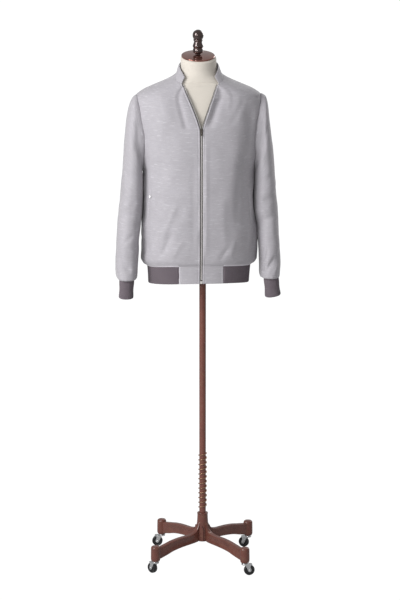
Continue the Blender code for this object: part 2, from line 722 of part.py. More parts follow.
def make_hem_rib(collection):
    seam = rib_seam()
    start = angle_of_x(TAB_X + 2 * SEAM, HEM_Z)
    end = 2 * math.pi - start
    angles = even_angles(HEM_Z, start, end, 2 * HEM_RIBS)
    top_start = angle_of_x(TAB_X + 2 * SEAM, RIB_TOP_Z)
    outer, inner = [], []
    for share in (0.0, 1.0):
        line, inside = [], []
        for k, low_angle in enumerate(angles):
            if share == 0.0:
                angle, z = low_angle, HEM_Z
                point = torso_point(angle, z)
            else:
                round_share = (low_angle - start) / (end - start)
                angle, z = top_start + (2 * math.pi - 2 * top_start) * round_share, RIB_TOP_Z
                point = seam_point(seam, angle) - Vector((0, 0, 1.2 * SEAM))
            normal = torso_normal(angle, z)
            normal = Vector((normal.x, normal.y, 0)).normalized()
            line.append(point + normal * RIB_RELIEF * (k % 2))
            inside.append(point - normal * RIB_WALL)
        outer.append(line)
        inner.append(inside)
    add_object("hem_rib", wall_mesh("hem_rib", outer, inner), "rib_knit", collection)


# ---------------------------------------------------------------- zip
def zip_frames(side):
    """At each row of a front: the inner wall's edge, the way to the centre, the way out."""
    frames = []
    for line in front_places(side)[0]:
        points, normals = torso_grid([line[:2]])
        edge, next_edge = moved(points, normals, -SHELL_WALL)[0]
        inward = (edge - next_edge).normalized()
        normal = normals[0][0]
        normal = (normal - inward * normal.dot(inward)).normalized()
        frames.append((edge, inward, normal))
    last, top = frames[-2], frames[-1]
    frames[-1] = tuple(a.lerp(b, 0.72) for a, b in zip(last, top))
    return frames


def strip(side, name, finish, near, far, back, front, collection):
    """A strip along a front's edge: near and far are distances past the edge."""
    outer, inner = [], []
    for edge, inward, normal in zip_frames(side):
        outer.append([edge + inward * near + normal * front, edge + inward * far + normal * front])
        inner.append([edge + inward * near + normal * back, edge + inward * far + normal * back])
    add_object(name, wall_mesh(name, outer, inner), finish, collection)


def make_zip(side, word, collection):
    back = -(TAPE_GAP + TAPE_WALL)
    front = -TAPE_GAP
    strip(side, "zip_tape_" + word, "zip_tape", -TAPE_HIDDEN, TAPE_SHOWN, back, front, collection)
    near = TAPE_SHOWN + SEAM
    strip(side, "zip_teeth_" + word, "zip_metal", near, near + TEETH_WIDTH,
          back - TEETH_BACK, front + TEETH_FRONT, collection)


def box_mesh(name, half, centre):
    mesh = bmesh.new()
    bmesh.ops.create_cube(mesh, size=2.0)
    bmesh.ops.transform(mesh, matrix=Matrix.Translation(centre) @ Matrix.Diagonal((*half, 1)),
                        verts=mesh.verts)
    data = bpy.data.meshes.new(name)
    mesh.to_mesh(data)
    mesh.free()
    return data


def rod_mesh(name, radius, half_length, sides, hole=0.0):
    """A rod along X, or a ring when hole is its inner radius."""
    if hole > 0:
        profile = [(hole, half_length), (radius, half_length), (radius, -half_length),
                   (hole, -half_length)]
        data = screw_mesh(name, profile, sides, closed=True)
    else:
        mesh = bmesh.new()
        bmesh.ops.create_cone(mesh, cap_ends=True, segments=sides, radius1=radius,
                              radius2=radius, depth=2 * half_length)
        data = bpy.data.meshes.new(name)
        mesh.to_mesh(data)
        mesh.free()
    data.transform(Matrix.Rotation(math.pi / 2, 4, "Y"))
    return data


def screw_mesh(name, profile, sides, closed=False):
    """A turned mesh from (radius, z) points that run down the outer side."""
    mesh = bmesh.new()
    verts = [mesh.verts.new((r, 0, z)) for r, z in profile]
    for a, b in zip(verts, verts[1:]):
        mesh.edges.new((a, b))
    if closed:
        mesh.edges.new((verts[-1], verts[0]))
    data = bpy.data.meshes.new(name + "_profile")
    mesh.to_mesh(data)
    mesh.free()
    guide = bpy.data.objects.new(name + "_guide", data)
    bpy.context.scene.collection.objects.link(guide)
    screw = guide.modifiers.new("turn", "SCREW")
    screw.steps = sides
    screw.render_steps = sides
    screw.use_merge_vertices = True
    screw.merge_threshold = 0.00005
    screw.use_normal_calculate = False
    result = bpy.data.meshes.new_from_object(
        guide.evaluated_get(bpy.context.evaluated_depsgraph_get()))
    result.name = name
    bpy.data.objects.remove(guide)
    bpy.data.meshes.remove(data)
    fixed = bmesh.new()
    fixed.from_mesh(result)
    bmesh.ops.recalc_face_normals(fixed, faces=fixed.faces)
    fixed.to_mesh(result)
    fixed.free()
    return result


def joined(name, meshes, collection, finish, matrix, parent=None):
    """One solid from several overlapping meshes, by Boolean union, placed by matrix."""
    helpers = bpy.data.collections.get("cutters") or new_collection("cutters")
    first = bpy.data.objects.new(name, meshes[0])
    collection.objects.link(first)
    for k, mesh in enumerate(meshes[1:]):
        other = bpy.data.objects.new(f"{name}_join_{k}", mesh)
        helpers.objects.link(other)
        other.hide_render = True
        other.display_type = "WIRE"
        union = first.modifiers.new(f"join_{k}", "BOOLEAN")
        union.operation = "UNION"
        union.object = other
    bpy.context.view_layer.update()
    data = bpy.data.meshes.new_from_object(
        first.evaluated_get(bpy.context.evaluated_depsgraph_get()))
    for obj in [m.object for m in first.modifiers] + [first]:
        bpy.data.objects.remove(obj)
    data.name = name
    obj = add_object(name, data, finish, collection, parent)
    obj.matrix_world = matrix
    return obj


def slider_frame():
    """Centre and axes of the slider: x across, y into the cloth, z up along the zip."""
    edge = torso_point(0.03, SLIDER_Z)
    above, below = torso_point(0.03, SLIDER_Z + 0.01), torso_point(0.03, SLIDER_Z - 0.01)
    up = Vector((0, above.y - below.y, above.z - below.z)).normalized()
    out = Vector((0, -up.z, up.y))
    face = TEETH_FRONT - SHELL_WALL - TAPE_GAP
    start = Vector((0, edge.y, SLIDER_Z)) + out * (face + SEAM + PLATE_HALF.y)
    turn = Matrix(((1, 0, 0), (0, -out.y, up.y), (0, -out.z, up.z))).to_4x4()
    return Matrix.Translation(start) @ turn


def make_slider(collection):
    frame = slider_frame()
    ear = Vector((0.0006, (PIN_OUT + PIN_R + 0.0006) / 2, 0.0016))
    ears = []
    for way in (-1, 1):
        place = Vector((way * 0.0038, -PLATE_HALF.y - ear.y + 0.0003, PIN_UP))
        ears.append(box_mesh("ear", ear, place))
    pin = rod_mesh("pin", PIN_R, 0.0040, 8)
    pin.transform(Matrix.Translation((0, -PLATE_HALF.y - PIN_OUT, PIN_UP)))
    plate = box_mesh("plate", PLATE_HALF, Vector())
    joined("zip_slider", [plate] + ears + [pin], collection, "zip_metal", frame)
    pivot = frame @ Vector((0, -PLATE_HALF.y - PIN_OUT, PIN_UP))
    empty = add_empty("zip_pull_pivot", (0, 0, 0), collection)
    empty.matrix_world = Matrix.Translation(pivot) @ frame.to_3x3().to_4x4()
    eye = rod_mesh("eye", EYE_R, 0.0019, 12, hole=PIN_R + 0.0004)
    start = EYE_R * 0.75
    tab = box_mesh("tab", Vector((PULL_HALF_WIDTH, PULL_HALF_THICK, (PULL_LONG - start) / 2)),
                   Vector((0, 0, -(PULL_LONG + start) / 2)))
    joined("zip_pull", [tab, eye], collection, "zip_metal", empty.matrix_world)


def make_zip_box(collection):
    """The box at the foot of the zip, in front of the last teeth."""
    edge = torso_point(0.03, HEM_Z)
    teeth_y = edge.y + SHELL_WALL + TAPE_GAP - TEETH_FRONT
    half = Vector((0.0040, 0.0008, 0.0045))
    centre = Vector((0, teeth_y - SEAM - half.y - 0.0008, edge.z + half.z + 0.0010))
    add_object("zip_box", box_mesh("zip_box", half, centre), "zip_metal", collection, smooth=False)


# ---------------------------------------------------------------- pockets
Welt = namedtuple("Welt", "z angle")
WELT = (Welt(1.345, 58.5), Welt(1.312, 60.0), Welt(1.279, 61.0), Welt(1.246, 62.0),
        Welt(1.213, 63.5))


def make_welt(side, name, collection):
    places = [[(side * math.radians(row.angle + way * WELT_HALF_ANGLE), row.z)
               for way in (-1, 0, 1)] for row in WELT]
    points, normals = torso_grid(places)
    below = moved(points, normals, WELT_GAP)
    above = moved(points, normals, WELT_GAP + WELT_WALL)
    add_object(name, wall_mesh(name, above, below), "slub_cloth", collection)


def make_snap(collection):
    angle = -math.radians(60.0 - WELT_HALF_ANGLE * 0.3)
    point, normal = torso_point(angle, SNAP_Z), torso_normal(angle, SNAP_Z)
    low = WELT_GAP + WELT_WALL + 0.0005
    profile = [(0.00005, SNAP_THICK), (SNAP_R * 0.55, SNAP_THICK * 0.85),
               (SNAP_R, SNAP_THICK * 0.3), (SNAP_R, 0.0), (0.00005, 0.0)]
    data = screw_mesh("pocket_snap", profile, 14)
    close_axis(data)
    obj = add_object("pocket_snap", data, "snap_metal", collection)
    obj.matrix_world = (Matrix.Translation(point + normal * low)
                        @ normal.to_track_quat("Z", "Y").to_matrix().to_4x4())


def close_axis(data):
    """Draws the tiny rings at the axis of a turned mesh into single points."""
    mesh = bmesh.new()
    mesh.from_mesh(data)
    bmesh.ops.remove_doubles(mesh, verts=mesh.verts, dist=0.00025)
    bmesh.ops.recalc_face_normals(mesh, faces=mesh.faces)
    mesh.to_mesh(data)
    mesh.free()


# ---------------------------------------------------------------- dress form and stand
def make_form(collection):
    mesh = bmesh.new()
    rings = []
    for row in FORM:
        ring = []
        for k in range(FORM_COLUMNS):
            angle = 2 * math.pi * (k + 0.5) / FORM_COLUMNS
            depth = row.front if math.cos(angle) > 0 else row.back
            x = row.half_width * signed_power(math.sin(angle), 2 / row.square)
            y = -depth * math.cos(angle)
            z = row.z + math.tan(DISC_TILT) * y * row.lean
            ring.append(mesh.verts.new((x, y, z)))
        rings.append(ring)
    for low, high in zip(rings, rings[1:]):
        for k in range(FORM_COLUMNS):
            after = (k + 1) % FORM_COLUMNS
            mesh.faces.new((low[k], low[after], high[after], high[k]))
    mesh.faces.new(rings[0])
    mesh.faces.new(rings[-1])
    bmesh.ops.recalc_face_normals(mesh, faces=mesh.faces)
    data = bpy.data.meshes.new("form_body")
    mesh.to_mesh(data)
    mesh.free()
    add_object("form_body", data, "form_linen", collection)


def turned_object(name, rows, top_z, sides, finish, collection, place=(0, 0, 0)):
    profile = [(row.r, top_z - row.down) for row in rows]
    profile = [(0.00005, profile[0][1])] + profile[1 if rows[0].r < 0.001 else 0:]
    profile.append((0.00005, profile[-1][1]))
    data = screw_mesh(name, profile, sides)
    close_axis(data)
    obj = add_object(name, data, finish, collection)
    obj.location = place
    return obj


def make_disc_and_finial(collection):
    half = DISC_THICK / 2
    rows = (Turned(0.0, DISC_R - 0.0012), Turned(0.0012, DISC_R),
            Turned(DISC_THICK - 0.0010, DISC_R), Turned(DISC_THICK, DISC_R - 0.0010))
    disc = turned_object("neck_disc", rows, half, 32, "copper_disc", collection)
    disc.location = DISC_CENTRE
    disc.rotation_euler = (DISC_TILT, 0, 0)
    foot = FINIAL[-1]
    seat_z = DISC_CENTRE.z + half / math.cos(DISC_TILT) + foot.r * math.tan(DISC_TILT) + SEAM
    top_z = seat_z + foot.down
    turned_object("finial", FINIAL, top_z, 14, "dark_bronze", collection,
                  (DISC_CENTRE.x, 0, 0))


def make_pole(collection):
    length = FORM_BOTTOM_Z - SEAM - POLE_FOOT_Z
    mesh = bmesh.new()
    bmesh.ops.create_cone(mesh, cap_ends=True, segments=24, radius1=POLE_R, radius2=POLE_R,
                          depth=length)
    data = bpy.data.meshes.new("pole")
    mesh.to_mesh(data)
    mesh.free()
    pole = add_object("pole", data, "brown_paint", collection)
    pole.location = (POLE_X, 0, POLE_FOOT_Z + length / 2)


def make_coil(collection):
    per_turn = 8
    count = round(COIL_TURNS * per_turn)
    radius = (POLE_R + COIL_WIRE_R + SEAM) / math.cos(math.pi / per_turn)
    curve = bpy.data.curves.new("coil", "CURVE")
    curve.dimensions = "3D"
    curve.bevel_depth = COIL_WIRE_R
    curve.bevel_resolution = 1
    curve.use_fill_caps = True
    spline = curve.splines.new("POLY")
    spline.points.add(count)
    for k, point in enumerate(spline.points):
        angle = -2 * math.pi * k / per_turn
        z = COIL_TOP_Z - COIL_WIRE_R - COIL_PITCH * k / per_turn
        point.co = (POLE_X + radius * math.cos(angle), radius * math.sin(angle), z, 1)
    add_object("coil", curve, "brown_paint", collection, smooth=False)


def make_base(collection):
    turned_object("base_hub", HUB, HUB_TOP_Z, 20, "brown_paint", collection, (POLE_X, 0, 0))
    for k, degrees in enumerate(LEG_ANGLES):
        caster = CASTERS[k]
        make_leg("base_leg_" + caster.name, degrees, collection)
        make_caster(caster, degrees, collection)


def make_leg(name, degrees, collection):
    """An arched bar with a round boss at its end, along the leg's direction."""
    mesh = bmesh.new()
    rings = []
    for row in LEG:
        edge = 0.0030
        outline = ((-row.half_width, row.low), (row.half_width, row.low),
                   (row.half_width, row.high - edge), (row.half_width - edge, row.high),
                   (edge - row.half_width, row.high), (-row.half_width, row.high - edge))
        rings.append([mesh.verts.new((row.reach, y, z)) for y, z in outline])
    for near, far in zip(rings, rings[1:]):
        for k in range(len(near)):
            after = (k + 1) % len(near)
            mesh.faces.new((near[k], near[after], far[after], far[k]))
    mesh.faces.new(rings[0])
    mesh.faces.new(rings[-1])
    bmesh.ops.recalc_face_normals(mesh, faces=mesh.faces)
    bar = bpy.data.meshes.new(name + "_bar")
    mesh.to_mesh(bar)
    mesh.free()
    tall = BOSS_TOP_Z - BOSS_BOTTOM_Z
    boss_rows = (Turned(0.0, BOSS_R - 0.0022), Turned(0.0022, BOSS_R), Turned(tall, BOSS_R))
    profile = [(row.r, BOSS_TOP_Z - row.down) for row in boss_rows]
    profile = [(0.00005, BOSS_TOP_Z)] + profile + [(0.00005, BOSS_BOTTOM_Z)]
    boss = screw_mesh(name + "_boss", profile, 16)
    close_axis(boss)
    boss.transform(Matrix.Translation((LEG_REACH, 0, 0)))
    matrix = (Matrix.Translation((POLE_X, 0, 0))
              @ Matrix.Rotation(math.radians(degrees), 4, "Z"))
    joined(name, [boss, bar], collection, "brown_paint", matrix)


def wheel_profile():
    bevel = 0.0022
    return [(AXLE_R + 0.0005, WHEEL_HALF_WIDTH), (WHEEL_R - bevel, WHEEL_HALF_WIDTH),
            (WHEEL_R, WHEEL_HALF_WIDTH - bevel), (WHEEL_R, bevel - WHEEL_HALF_WIDTH),
            (WHEEL_R - bevel, -WHEEL_HALF_WIDTH), (AXLE_R + 0.0005, -WHEEL_HALF_WIDTH)]


CHEEK_OUTLINE = ((-0.0130, 0.0060), (-0.0060, -0.0045), (0.0, -0.0062), (0.0055, -0.0040),
                 (0.0105, 0.0100), (0.0100, 0.0185), (-0.0200, 0.0215), (-0.0210, 0.0150))


def cheek_mesh(way):
    """A fork cheek: a flat outline beside the wheel, thickened along X."""
    near = way * (WHEEL_HALF_WIDTH + CHEEK_GAP)
    far = way * (WHEEL_HALF_WIDTH + CHEEK_GAP + CHEEK_WALL)
    mesh = bmesh.new()
    sides = [[mesh.verts.new((x, -y, z)) for y, z in CHEEK_OUTLINE] for x in (near, far)]
    mesh.faces.new(sides[0])
    mesh.faces.new(sides[1])
    for k in range(len(CHEEK_OUTLINE)):
        after = (k + 1) % len(CHEEK_OUTLINE)
        mesh.faces.new((sides[0][k], sides[0][after], sides[1][after], sides[1][k]))
    bmesh.ops.recalc_face_normals(mesh, faces=mesh.faces)
    data = bpy.data.meshes.new("cheek")
    mesh.to_mesh(data)
    mesh.free()
    return data


def make_caster(caster, degrees, collection):
    """A swivel fork and its wheel. In the fork's frame the wheel trails along +Y."""
    turn = math.radians(degrees)
    axis = Vector((POLE_X + LEG_REACH * math.cos(turn), LEG_REACH * math.sin(turn), 0))
    swivel = add_empty("swivel_" + caster.name, axis, collection)
    heading = Matrix.Rotation(math.radians(caster.trail_angle - 90), 4, "Z")
    swivel.matrix_world = Matrix.Translation(axis) @ heading
    axle = Vector((0, CASTER_TRAIL, WHEEL_FLAT_R))
    to_axle = Matrix.Translation(axle)

    cheeks = [cheek_mesh(-1), cheek_mesh(1)]
    for cheek in cheeks:
        cheek.transform(to_axle)
    rod = rod_mesh("axle", AXLE_R, WHEEL_HALF_WIDTH + CHEEK_GAP + CHEEK_WALL + 0.0008, 10)
    rod.transform(to_axle)
    crown_half = Vector((WHEEL_HALF_WIDTH + CHEEK_GAP + CHEEK_WALL, 0.0150, 0.0008))
    crown = box_mesh("crown", crown_half,
                     Vector((0, CASTER_TRAIL - 0.0070 + 0.0020, WHEEL_FLAT_R + 0.0205)))
    top = BOSS_BOTTOM_Z - SEAM
    stem_low = WHEEL_FLAT_R + 0.0200
    stem_rows = [(0.00005, top), (0.0085, top), (0.0110, top - 0.0025), (0.0110, stem_low),
                 (0.00005, stem_low)]
    stem = screw_mesh("stem", stem_rows, 10)
    close_axis(stem)
    joined("fork_" + caster.name, [crown, stem, rod] + cheeks, collection, "bright_steel",
           swivel.matrix_world)

    wheel = screw_mesh("wheel_" + caster.name, wheel_profile(), WHEEL_SIDES, closed=True)
    half_side = Matrix.Rotation(math.pi / WHEEL_SIDES, 4, "Z")
    wheel.transform(Matrix.Rotation(math.pi / 2, 4, "Y") @ half_side)
    obj = add_object("wheel_" + caster.name, wheel, "black_rubber", collection)
    obj.matrix_world = swivel.matrix_world @ to_axle


def main():
    clear_scene()
    part = new_collection("bomber_jacket_on_dress_form")
    make_front(-1, "front_right", part)
    make_front(1, "front_left", part)
    make_back(part)
    make_collar(part)
    make_sleeve(-1, "sleeve_right", part)
    make_sleeve(1, "sleeve_left", part)
    make_cuff(-1, "cuff_right", part)
    make_cuff(1, "cuff_left", part)
    make_hem_rib(part)
    make_zip(-1, "right", part)
    make_zip(1, "left", part)
    make_slider(part)
    make_zip_box(part)
    make_welt(-1, "pocket_welt_right", part)
    make_welt(1, "pocket_welt_left", part)
    make_snap(part)
    make_form(part)
    make_disc_and_finial(part)
    make_pole(part)
    make_coil(part)
    make_base(part)


main()
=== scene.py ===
"""Looks for a zip-front bomber jacket on a limbless dress form with a rolling stand.

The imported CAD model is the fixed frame. Each cloth panel is a thin shell on the CAD panel's own
form, with finer creases, rolled seams and knit ribs. Metres, +Z up, the jacket faces -Y.
"""

import math

import bmesh
import bpy
import numpy as np
from bpy.props import FloatProperty, FloatVectorProperty, IntProperty, PointerProperty
from mathutils import Matrix, Vector
from mathutils.kdtree import KDTree


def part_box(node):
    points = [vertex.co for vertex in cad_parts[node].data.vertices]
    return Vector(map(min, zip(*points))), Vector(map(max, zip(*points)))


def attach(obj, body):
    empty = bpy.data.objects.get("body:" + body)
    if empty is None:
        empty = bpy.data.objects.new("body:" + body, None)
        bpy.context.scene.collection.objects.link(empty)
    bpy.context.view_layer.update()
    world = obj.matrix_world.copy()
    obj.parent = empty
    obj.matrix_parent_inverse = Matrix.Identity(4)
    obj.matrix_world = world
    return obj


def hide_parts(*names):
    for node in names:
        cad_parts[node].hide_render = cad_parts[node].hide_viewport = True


bl_info = {
    "name": "Bomber jacket on a dress form",
    "version": (1, 0, 0),
    "blender": (4, 5, 0),
    "location": "3D View > Sidebar > Jacket",
    "description": "Builds the cloth, zip, form and stand of a bomber jacket round its CAD model",
    "category": "Object",
}

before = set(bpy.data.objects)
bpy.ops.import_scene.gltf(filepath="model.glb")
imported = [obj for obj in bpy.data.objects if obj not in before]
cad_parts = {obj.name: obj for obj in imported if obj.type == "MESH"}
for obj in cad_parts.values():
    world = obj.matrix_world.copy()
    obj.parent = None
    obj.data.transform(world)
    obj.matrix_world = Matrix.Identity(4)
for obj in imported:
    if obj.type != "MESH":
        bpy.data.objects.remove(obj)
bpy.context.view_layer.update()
BODY = "jacket_on_stand"
SIDES = ((-1, "right"), (1, "left"))
QUARTER_X, QUARTER_Y = (Matrix.Rotation(math.pi / 2, 4, axis) for axis in "XY")

# ---------------------------------------------------------------- the garment's shape
ACROSS = 2.6               # squareness of the torso's sections
GIRTH_RADIUS = 0.155       # turns an angle round the torso into a distance for the folds
ARM_BOTTOM, ARM_TOP = 1.400, 1.656
ARM_MIDDLE, ARM_HALF = (ARM_TOP + ARM_BOTTOM) / 2, (ARM_TOP - ARM_BOTTOM) / 2
ARM_HALF_DEPTH = 0.064
HEM_Z, RIB_TOP_Z = 1.0075, 1.0665
NECK_POINT_Z, NECK_CORNER_Z = 1.729, 1.700
NECK_BACK_RISE = 0.008
NECK_CORNER_X = 0.0625
ZIP_HALF_GAP = 0.0046
SLIDER_Z = 1.548
V_CURVE = 1.18
TAB_X = 0.0755
RIB_TUCK = 0.0022          # how far the hem rib reaches behind the tabs
SEAM = 0.0003
SLEEVE_SQUARE, CUFF_SQUARE = 2.3, 2.2
LEFT_CUFF_TILT = 0.0045
COLLAR_TOP_HALF, COLLAR_TOP_FRONT, COLLAR_TOP_BACK = 0.0663, 0.1020, 0.0605
COLLAR_CORNER_X, COLLAR_CORNER_Z = 0.0510, 1.7205
COLLAR_SIDE_Z, COLLAR_BACK_Z = 1.757, 1.768
COLLAR_WALL, COLLAR_RISE = 0.0024, 0.036
CUFF_LENGTH = 0.0622
STITCH = (0.00030, 0.00022, 0.00112)    # half width, half height, half length
STITCH_LIFT = 0.00005
TAPE_HIDDEN, TAPE_SHOWN, TAPE_WALL, TAPE_GAP = 0.0080, 0.0035, 0.0009, 0.0006
# beside the open V, by side: how much further the tape shows, and how far its teeth move
TAPE_FLARE, TOOTH_SHIFT = {-1: 0.0007, 1: 0.0022}, {-1: 0.0007, 1: -0.0016}
TOOTH = (0.0023, 0.0019, 0.0015)
ZIP_FOOT = 0.012           # bare tape at the zip's foot

# height, half width, depth in front, depth behind
TORSO = np.array((
    (1.0075, 0.1735, 0.1180, 0.1120), (1.0665, 0.1765, 0.1215, 0.1160),
    (1.0760, 0.1900, 0.1265, 0.1230), (1.0920, 0.1975, 0.1300, 0.1280),
    (1.1400, 0.1965, 0.1325, 0.1300), (1.2000, 0.1965, 0.1345, 0.1300),
    (1.2600, 0.1930, 0.1365, 0.1290), (1.3300, 0.1910, 0.1385, 0.1280),
    (1.4000, 0.1905, 0.1395, 0.1290), (1.4600, 0.2020, 0.1370, 0.1290),
    (1.5280, 0.2106, 0.1310, 0.1270), (1.5950, 0.2185, 0.1180, 0.1210),
    (1.6300, 0.2180, 0.1060, 0.1120), (1.6560, 0.2100, 0.0960, 0.1020),
    (1.6665, 0.1970, 0.0915, 0.0970), (1.6770, 0.1790, 0.0875, 0.0920),
    (1.6900, 0.1480, 0.0830, 0.0860), (1.7040, 0.1140, 0.0790, 0.0810),
    (1.7160, 0.0905, 0.0755, 0.0745), (1.7290, 0.0745, 0.0720, 0.0680),
    (1.7450, 0.0700, 0.0700, 0.0650),
))
# height, rise of the hem at the centre front and back
HEM_LIFT = np.array(((1.0075, 0.0150, 0.0040), (1.0665, 0.0165, 0.0050), (1.2500, 0.0, 0.0)))

# angle and height of both ends, width, depth. The folds are the CAD panels' own, a little
# changed beside the open V; the creases are finer and only here
BODY_FOLDS = (
    (-17, 1.690, -9, 1.560, 0.0060, -0.0040), (-38, 1.650, -31, 1.560, 0.022, 0.0030),
    (-11, 1.310, -33, 1.130, 0.020, -0.0034), (-17, 1.230, -26, 1.120, 0.018, 0.0024),
    (24, 1.672, 12, 1.580, 0.018, -0.0012), (31, 1.630, 27, 1.330, 0.026, 0.0032),
    (48, 1.590, 45, 1.240, 0.026, -0.0036), (79, 1.320, 84, 1.268, 0.024, -0.0065),
    (-84, 1.160, -62, 1.146, 0.018, -0.0028), (88, 1.180, 90, 1.110, 0.042, 0.0060),
    (140, 1.600, 152, 1.380, 0.026, 0.0035), (-142, 1.590, -150, 1.360, 0.026, 0.0035),
    (170, 1.480, 164, 1.180, 0.024, -0.0032), (-163, 1.300, -172, 1.140, 0.024, -0.0030),
    (120, 1.250, 138, 1.140, 0.020, -0.0030), (-118, 1.220, -134, 1.140, 0.026, -0.0024),
)
BODY_CREASES = (
    (-27, 1.665, -22, 1.570, 0.012, 0.0016), (-33, 1.668, -27, 1.590, 0.009, 0.0012),
    (-56, 1.610, -50, 1.430, 0.012, 0.0014), (-70, 1.540, -62, 1.430, 0.010, -0.0014),
    (-40, 1.440, -44, 1.250, 0.014, -0.0011), (-20, 1.300, -36, 1.170, 0.008, 0.0012),
    (-24, 1.200, -38, 1.105, 0.008, -0.0015), (-12, 1.175, -24, 1.095, 0.008, 0.0012),
    (-46, 1.190, -60, 1.110, 0.010, -0.0012), (-74, 1.240, -80, 1.110, 0.010, 0.0014),
    (-84, 1.350, -78, 1.230, 0.010, -0.0016), (-66, 1.135, -84, 1.105, 0.008, -0.0014),
    (24, 1.690, 18, 1.610, 0.008, 0.0016), (18.5, 1.698, 10.4, 1.630, 0.0080, -0.0034),
    (11.4, 1.652, 3.0, 1.552, 0.0080, -0.0050), (9.0, 1.700, 1.2, 1.562, 0.0060, 0.0030),
    (2.1, 1.530, 2.1, 1.085, 0.0042, 0.0013),
    (-4.6, 1.470, -4.6, 1.085, 0.0060, -0.0011), (38, 1.655, 20, 1.560, 0.010, -0.0013),
    (56, 1.610, 52, 1.440, 0.012, 0.0014), (69, 1.545, 61, 1.430, 0.010, -0.0014),
    (36, 1.400, 33, 1.200, 0.013, -0.0012), (16, 1.330, 18, 1.130, 0.012, 0.0010),
    (22, 1.140, 13, 1.088, 0.007, -0.0016), (30, 1.170, 24, 1.100, 0.008, 0.0012),
    (58, 1.230, 52, 1.100, 0.012, 0.0013), (70, 1.240, 66, 1.110, 0.010, -0.0013),
    (84, 1.345, 78, 1.270, 0.009, -0.0018), (88, 1.262, 76, 1.235, 0.008, 0.0014),
    (128, 1.560, 118, 1.430, 0.012, -0.0016), (-126, 1.550, -117, 1.430, 0.012, -0.0016),
    (160, 1.680, 150, 1.600, 0.012, -0.0014), (-160, 1.680, -152, 1.600, 0.012, -0.0012),
    (150, 1.300, 146, 1.120, 0.012, 0.0013), (-146, 1.250, -154, 1.110, 0.012, 0.0014),
    (-176, 1.220, -168, 1.100, 0.010, 0.0012), (176, 1.640, 178, 1.400, 0.016, 0.0012),
    (106, 1.220, 118, 1.110, 0.010, 0.0014), (-104, 1.300, -112, 1.160, 0.012, -0.0014),
)
# height at the inside and outside, x of both edges on the wearer's right and left, half depth, y
SLEEVE = np.array((
    (1.3980, 1.6480, 0.1910, 0.2210, 0.1910, 0.2270, 0.0680, 0.000),
    (1.3960, 1.6320, 0.1915, 0.2305, 0.1915, 0.2330, 0.0720, 0.000),
    (1.3930, 1.6030, 0.1920, 0.2392, 0.1920, 0.2375, 0.0755, 0.000),
    (1.3880, 1.5650, 0.1910, 0.2455, 0.1910, 0.2415, 0.0780, 0.000),
    (1.3800, 1.5200, 0.1900, 0.2505, 0.1900, 0.2468, 0.0785, 0.000),
    (1.3660, 1.4650, 0.1895, 0.2550, 0.1890, 0.2540, 0.0790, 0.000),
    (1.3450, 1.4000, 0.1895, 0.2590, 0.1885, 0.2590, 0.0785, -0.001),
    (1.3100, 1.3400, 0.1900, 0.2652, 0.1870, 0.2642, 0.0770, -0.003),
    (1.2650, 1.2810, 0.1920, 0.2710, 0.1880, 0.2682, 0.0750, -0.005),
    (1.2150, 1.2250, 0.1990, 0.2770, 0.1985, 0.2722, 0.0720, -0.008),
    (1.1650, 1.1700, 0.2050, 0.2815, 0.2020, 0.2755, 0.0680, -0.012),
    (1.1130, 1.1150, 0.2070, 0.2848, 0.2060, 0.2780, 0.0640, -0.018),
    (1.0750, 1.0700, 0.2095, 0.2862, 0.2065, 0.2790, 0.0600, -0.023),
    (1.0450, 1.0450, 0.2120, 0.2855, 0.2070, 0.2785, 0.0570, -0.027),
    (1.0330, 1.0330, 0.2140, 0.2825, 0.2080, 0.2770, 0.0550, -0.030),
    (1.0277, 1.0277, 0.2190, 0.2780, 0.2130, 0.2745, 0.0480, -0.033),
))
CUFF_TOP = np.array((1.0267, 1.0267, 0.2245, 0.2730, 0.2225, 0.2715, 0.0360, -0.036))
CUFF_BOTTOM = np.array((0.9645, 0.9645, 0.2285, 0.2755, 0.2270, 0.2780, 0.0370, -0.043))
SLEEVE_FOLDS = (           # angle 0 outside, 90 in front, 180 inside, 270 behind
    (60, 1.545, 115, 1.450, 0.012, -0.0030), (20, 1.330, 95, 1.300, 0.013, -0.0032),
    (60, 1.250, 130, 1.225, 0.012, -0.0030), (200, 1.320, 290, 1.290, 0.014, -0.0035),
    (300, 1.500, 250, 1.400, 0.014, -0.0030), (35, 1.120, 90, 1.075, 0.012, -0.0028),
)
CREASE_GAIN = 1.5
SLEEVE_CREASES = {
    -1: ((75, 1.600, 100, 1.480, 0.008, -0.0015), (30, 1.420, 80, 1.360, 0.009, -0.0013),
         (80, 1.290, 20, 1.262, 0.008, 0.0013), (110, 1.190, 60, 1.150, 0.009, -0.0014),
         (50, 1.095, 110, 1.060, 0.008, -0.0018), (20, 1.080, 60, 1.050, 0.007, 0.0013),
         (260, 1.180, 310, 1.140, 0.010, -0.0015), (240, 1.560, 280, 1.450, 0.010, -0.0014)),
    1: ((80, 1.590, 95, 1.450, 0.008, -0.0016), (40, 1.400, 90, 1.370, 0.009, -0.0012),
        (95, 1.275, 35, 1.240, 0.008, 0.0013), (100, 1.140, 140, 1.045, 0.008, -0.0022),
        (70, 1.110, 118, 1.050, 0.007, -0.0020), (50, 1.080, 80, 1.045, 0.007, 0.0014),
        (250, 1.190, 300, 1.160, 0.010, -0.0015), (250, 1.550, 275, 1.440, 0.010, -0.0014)),
}
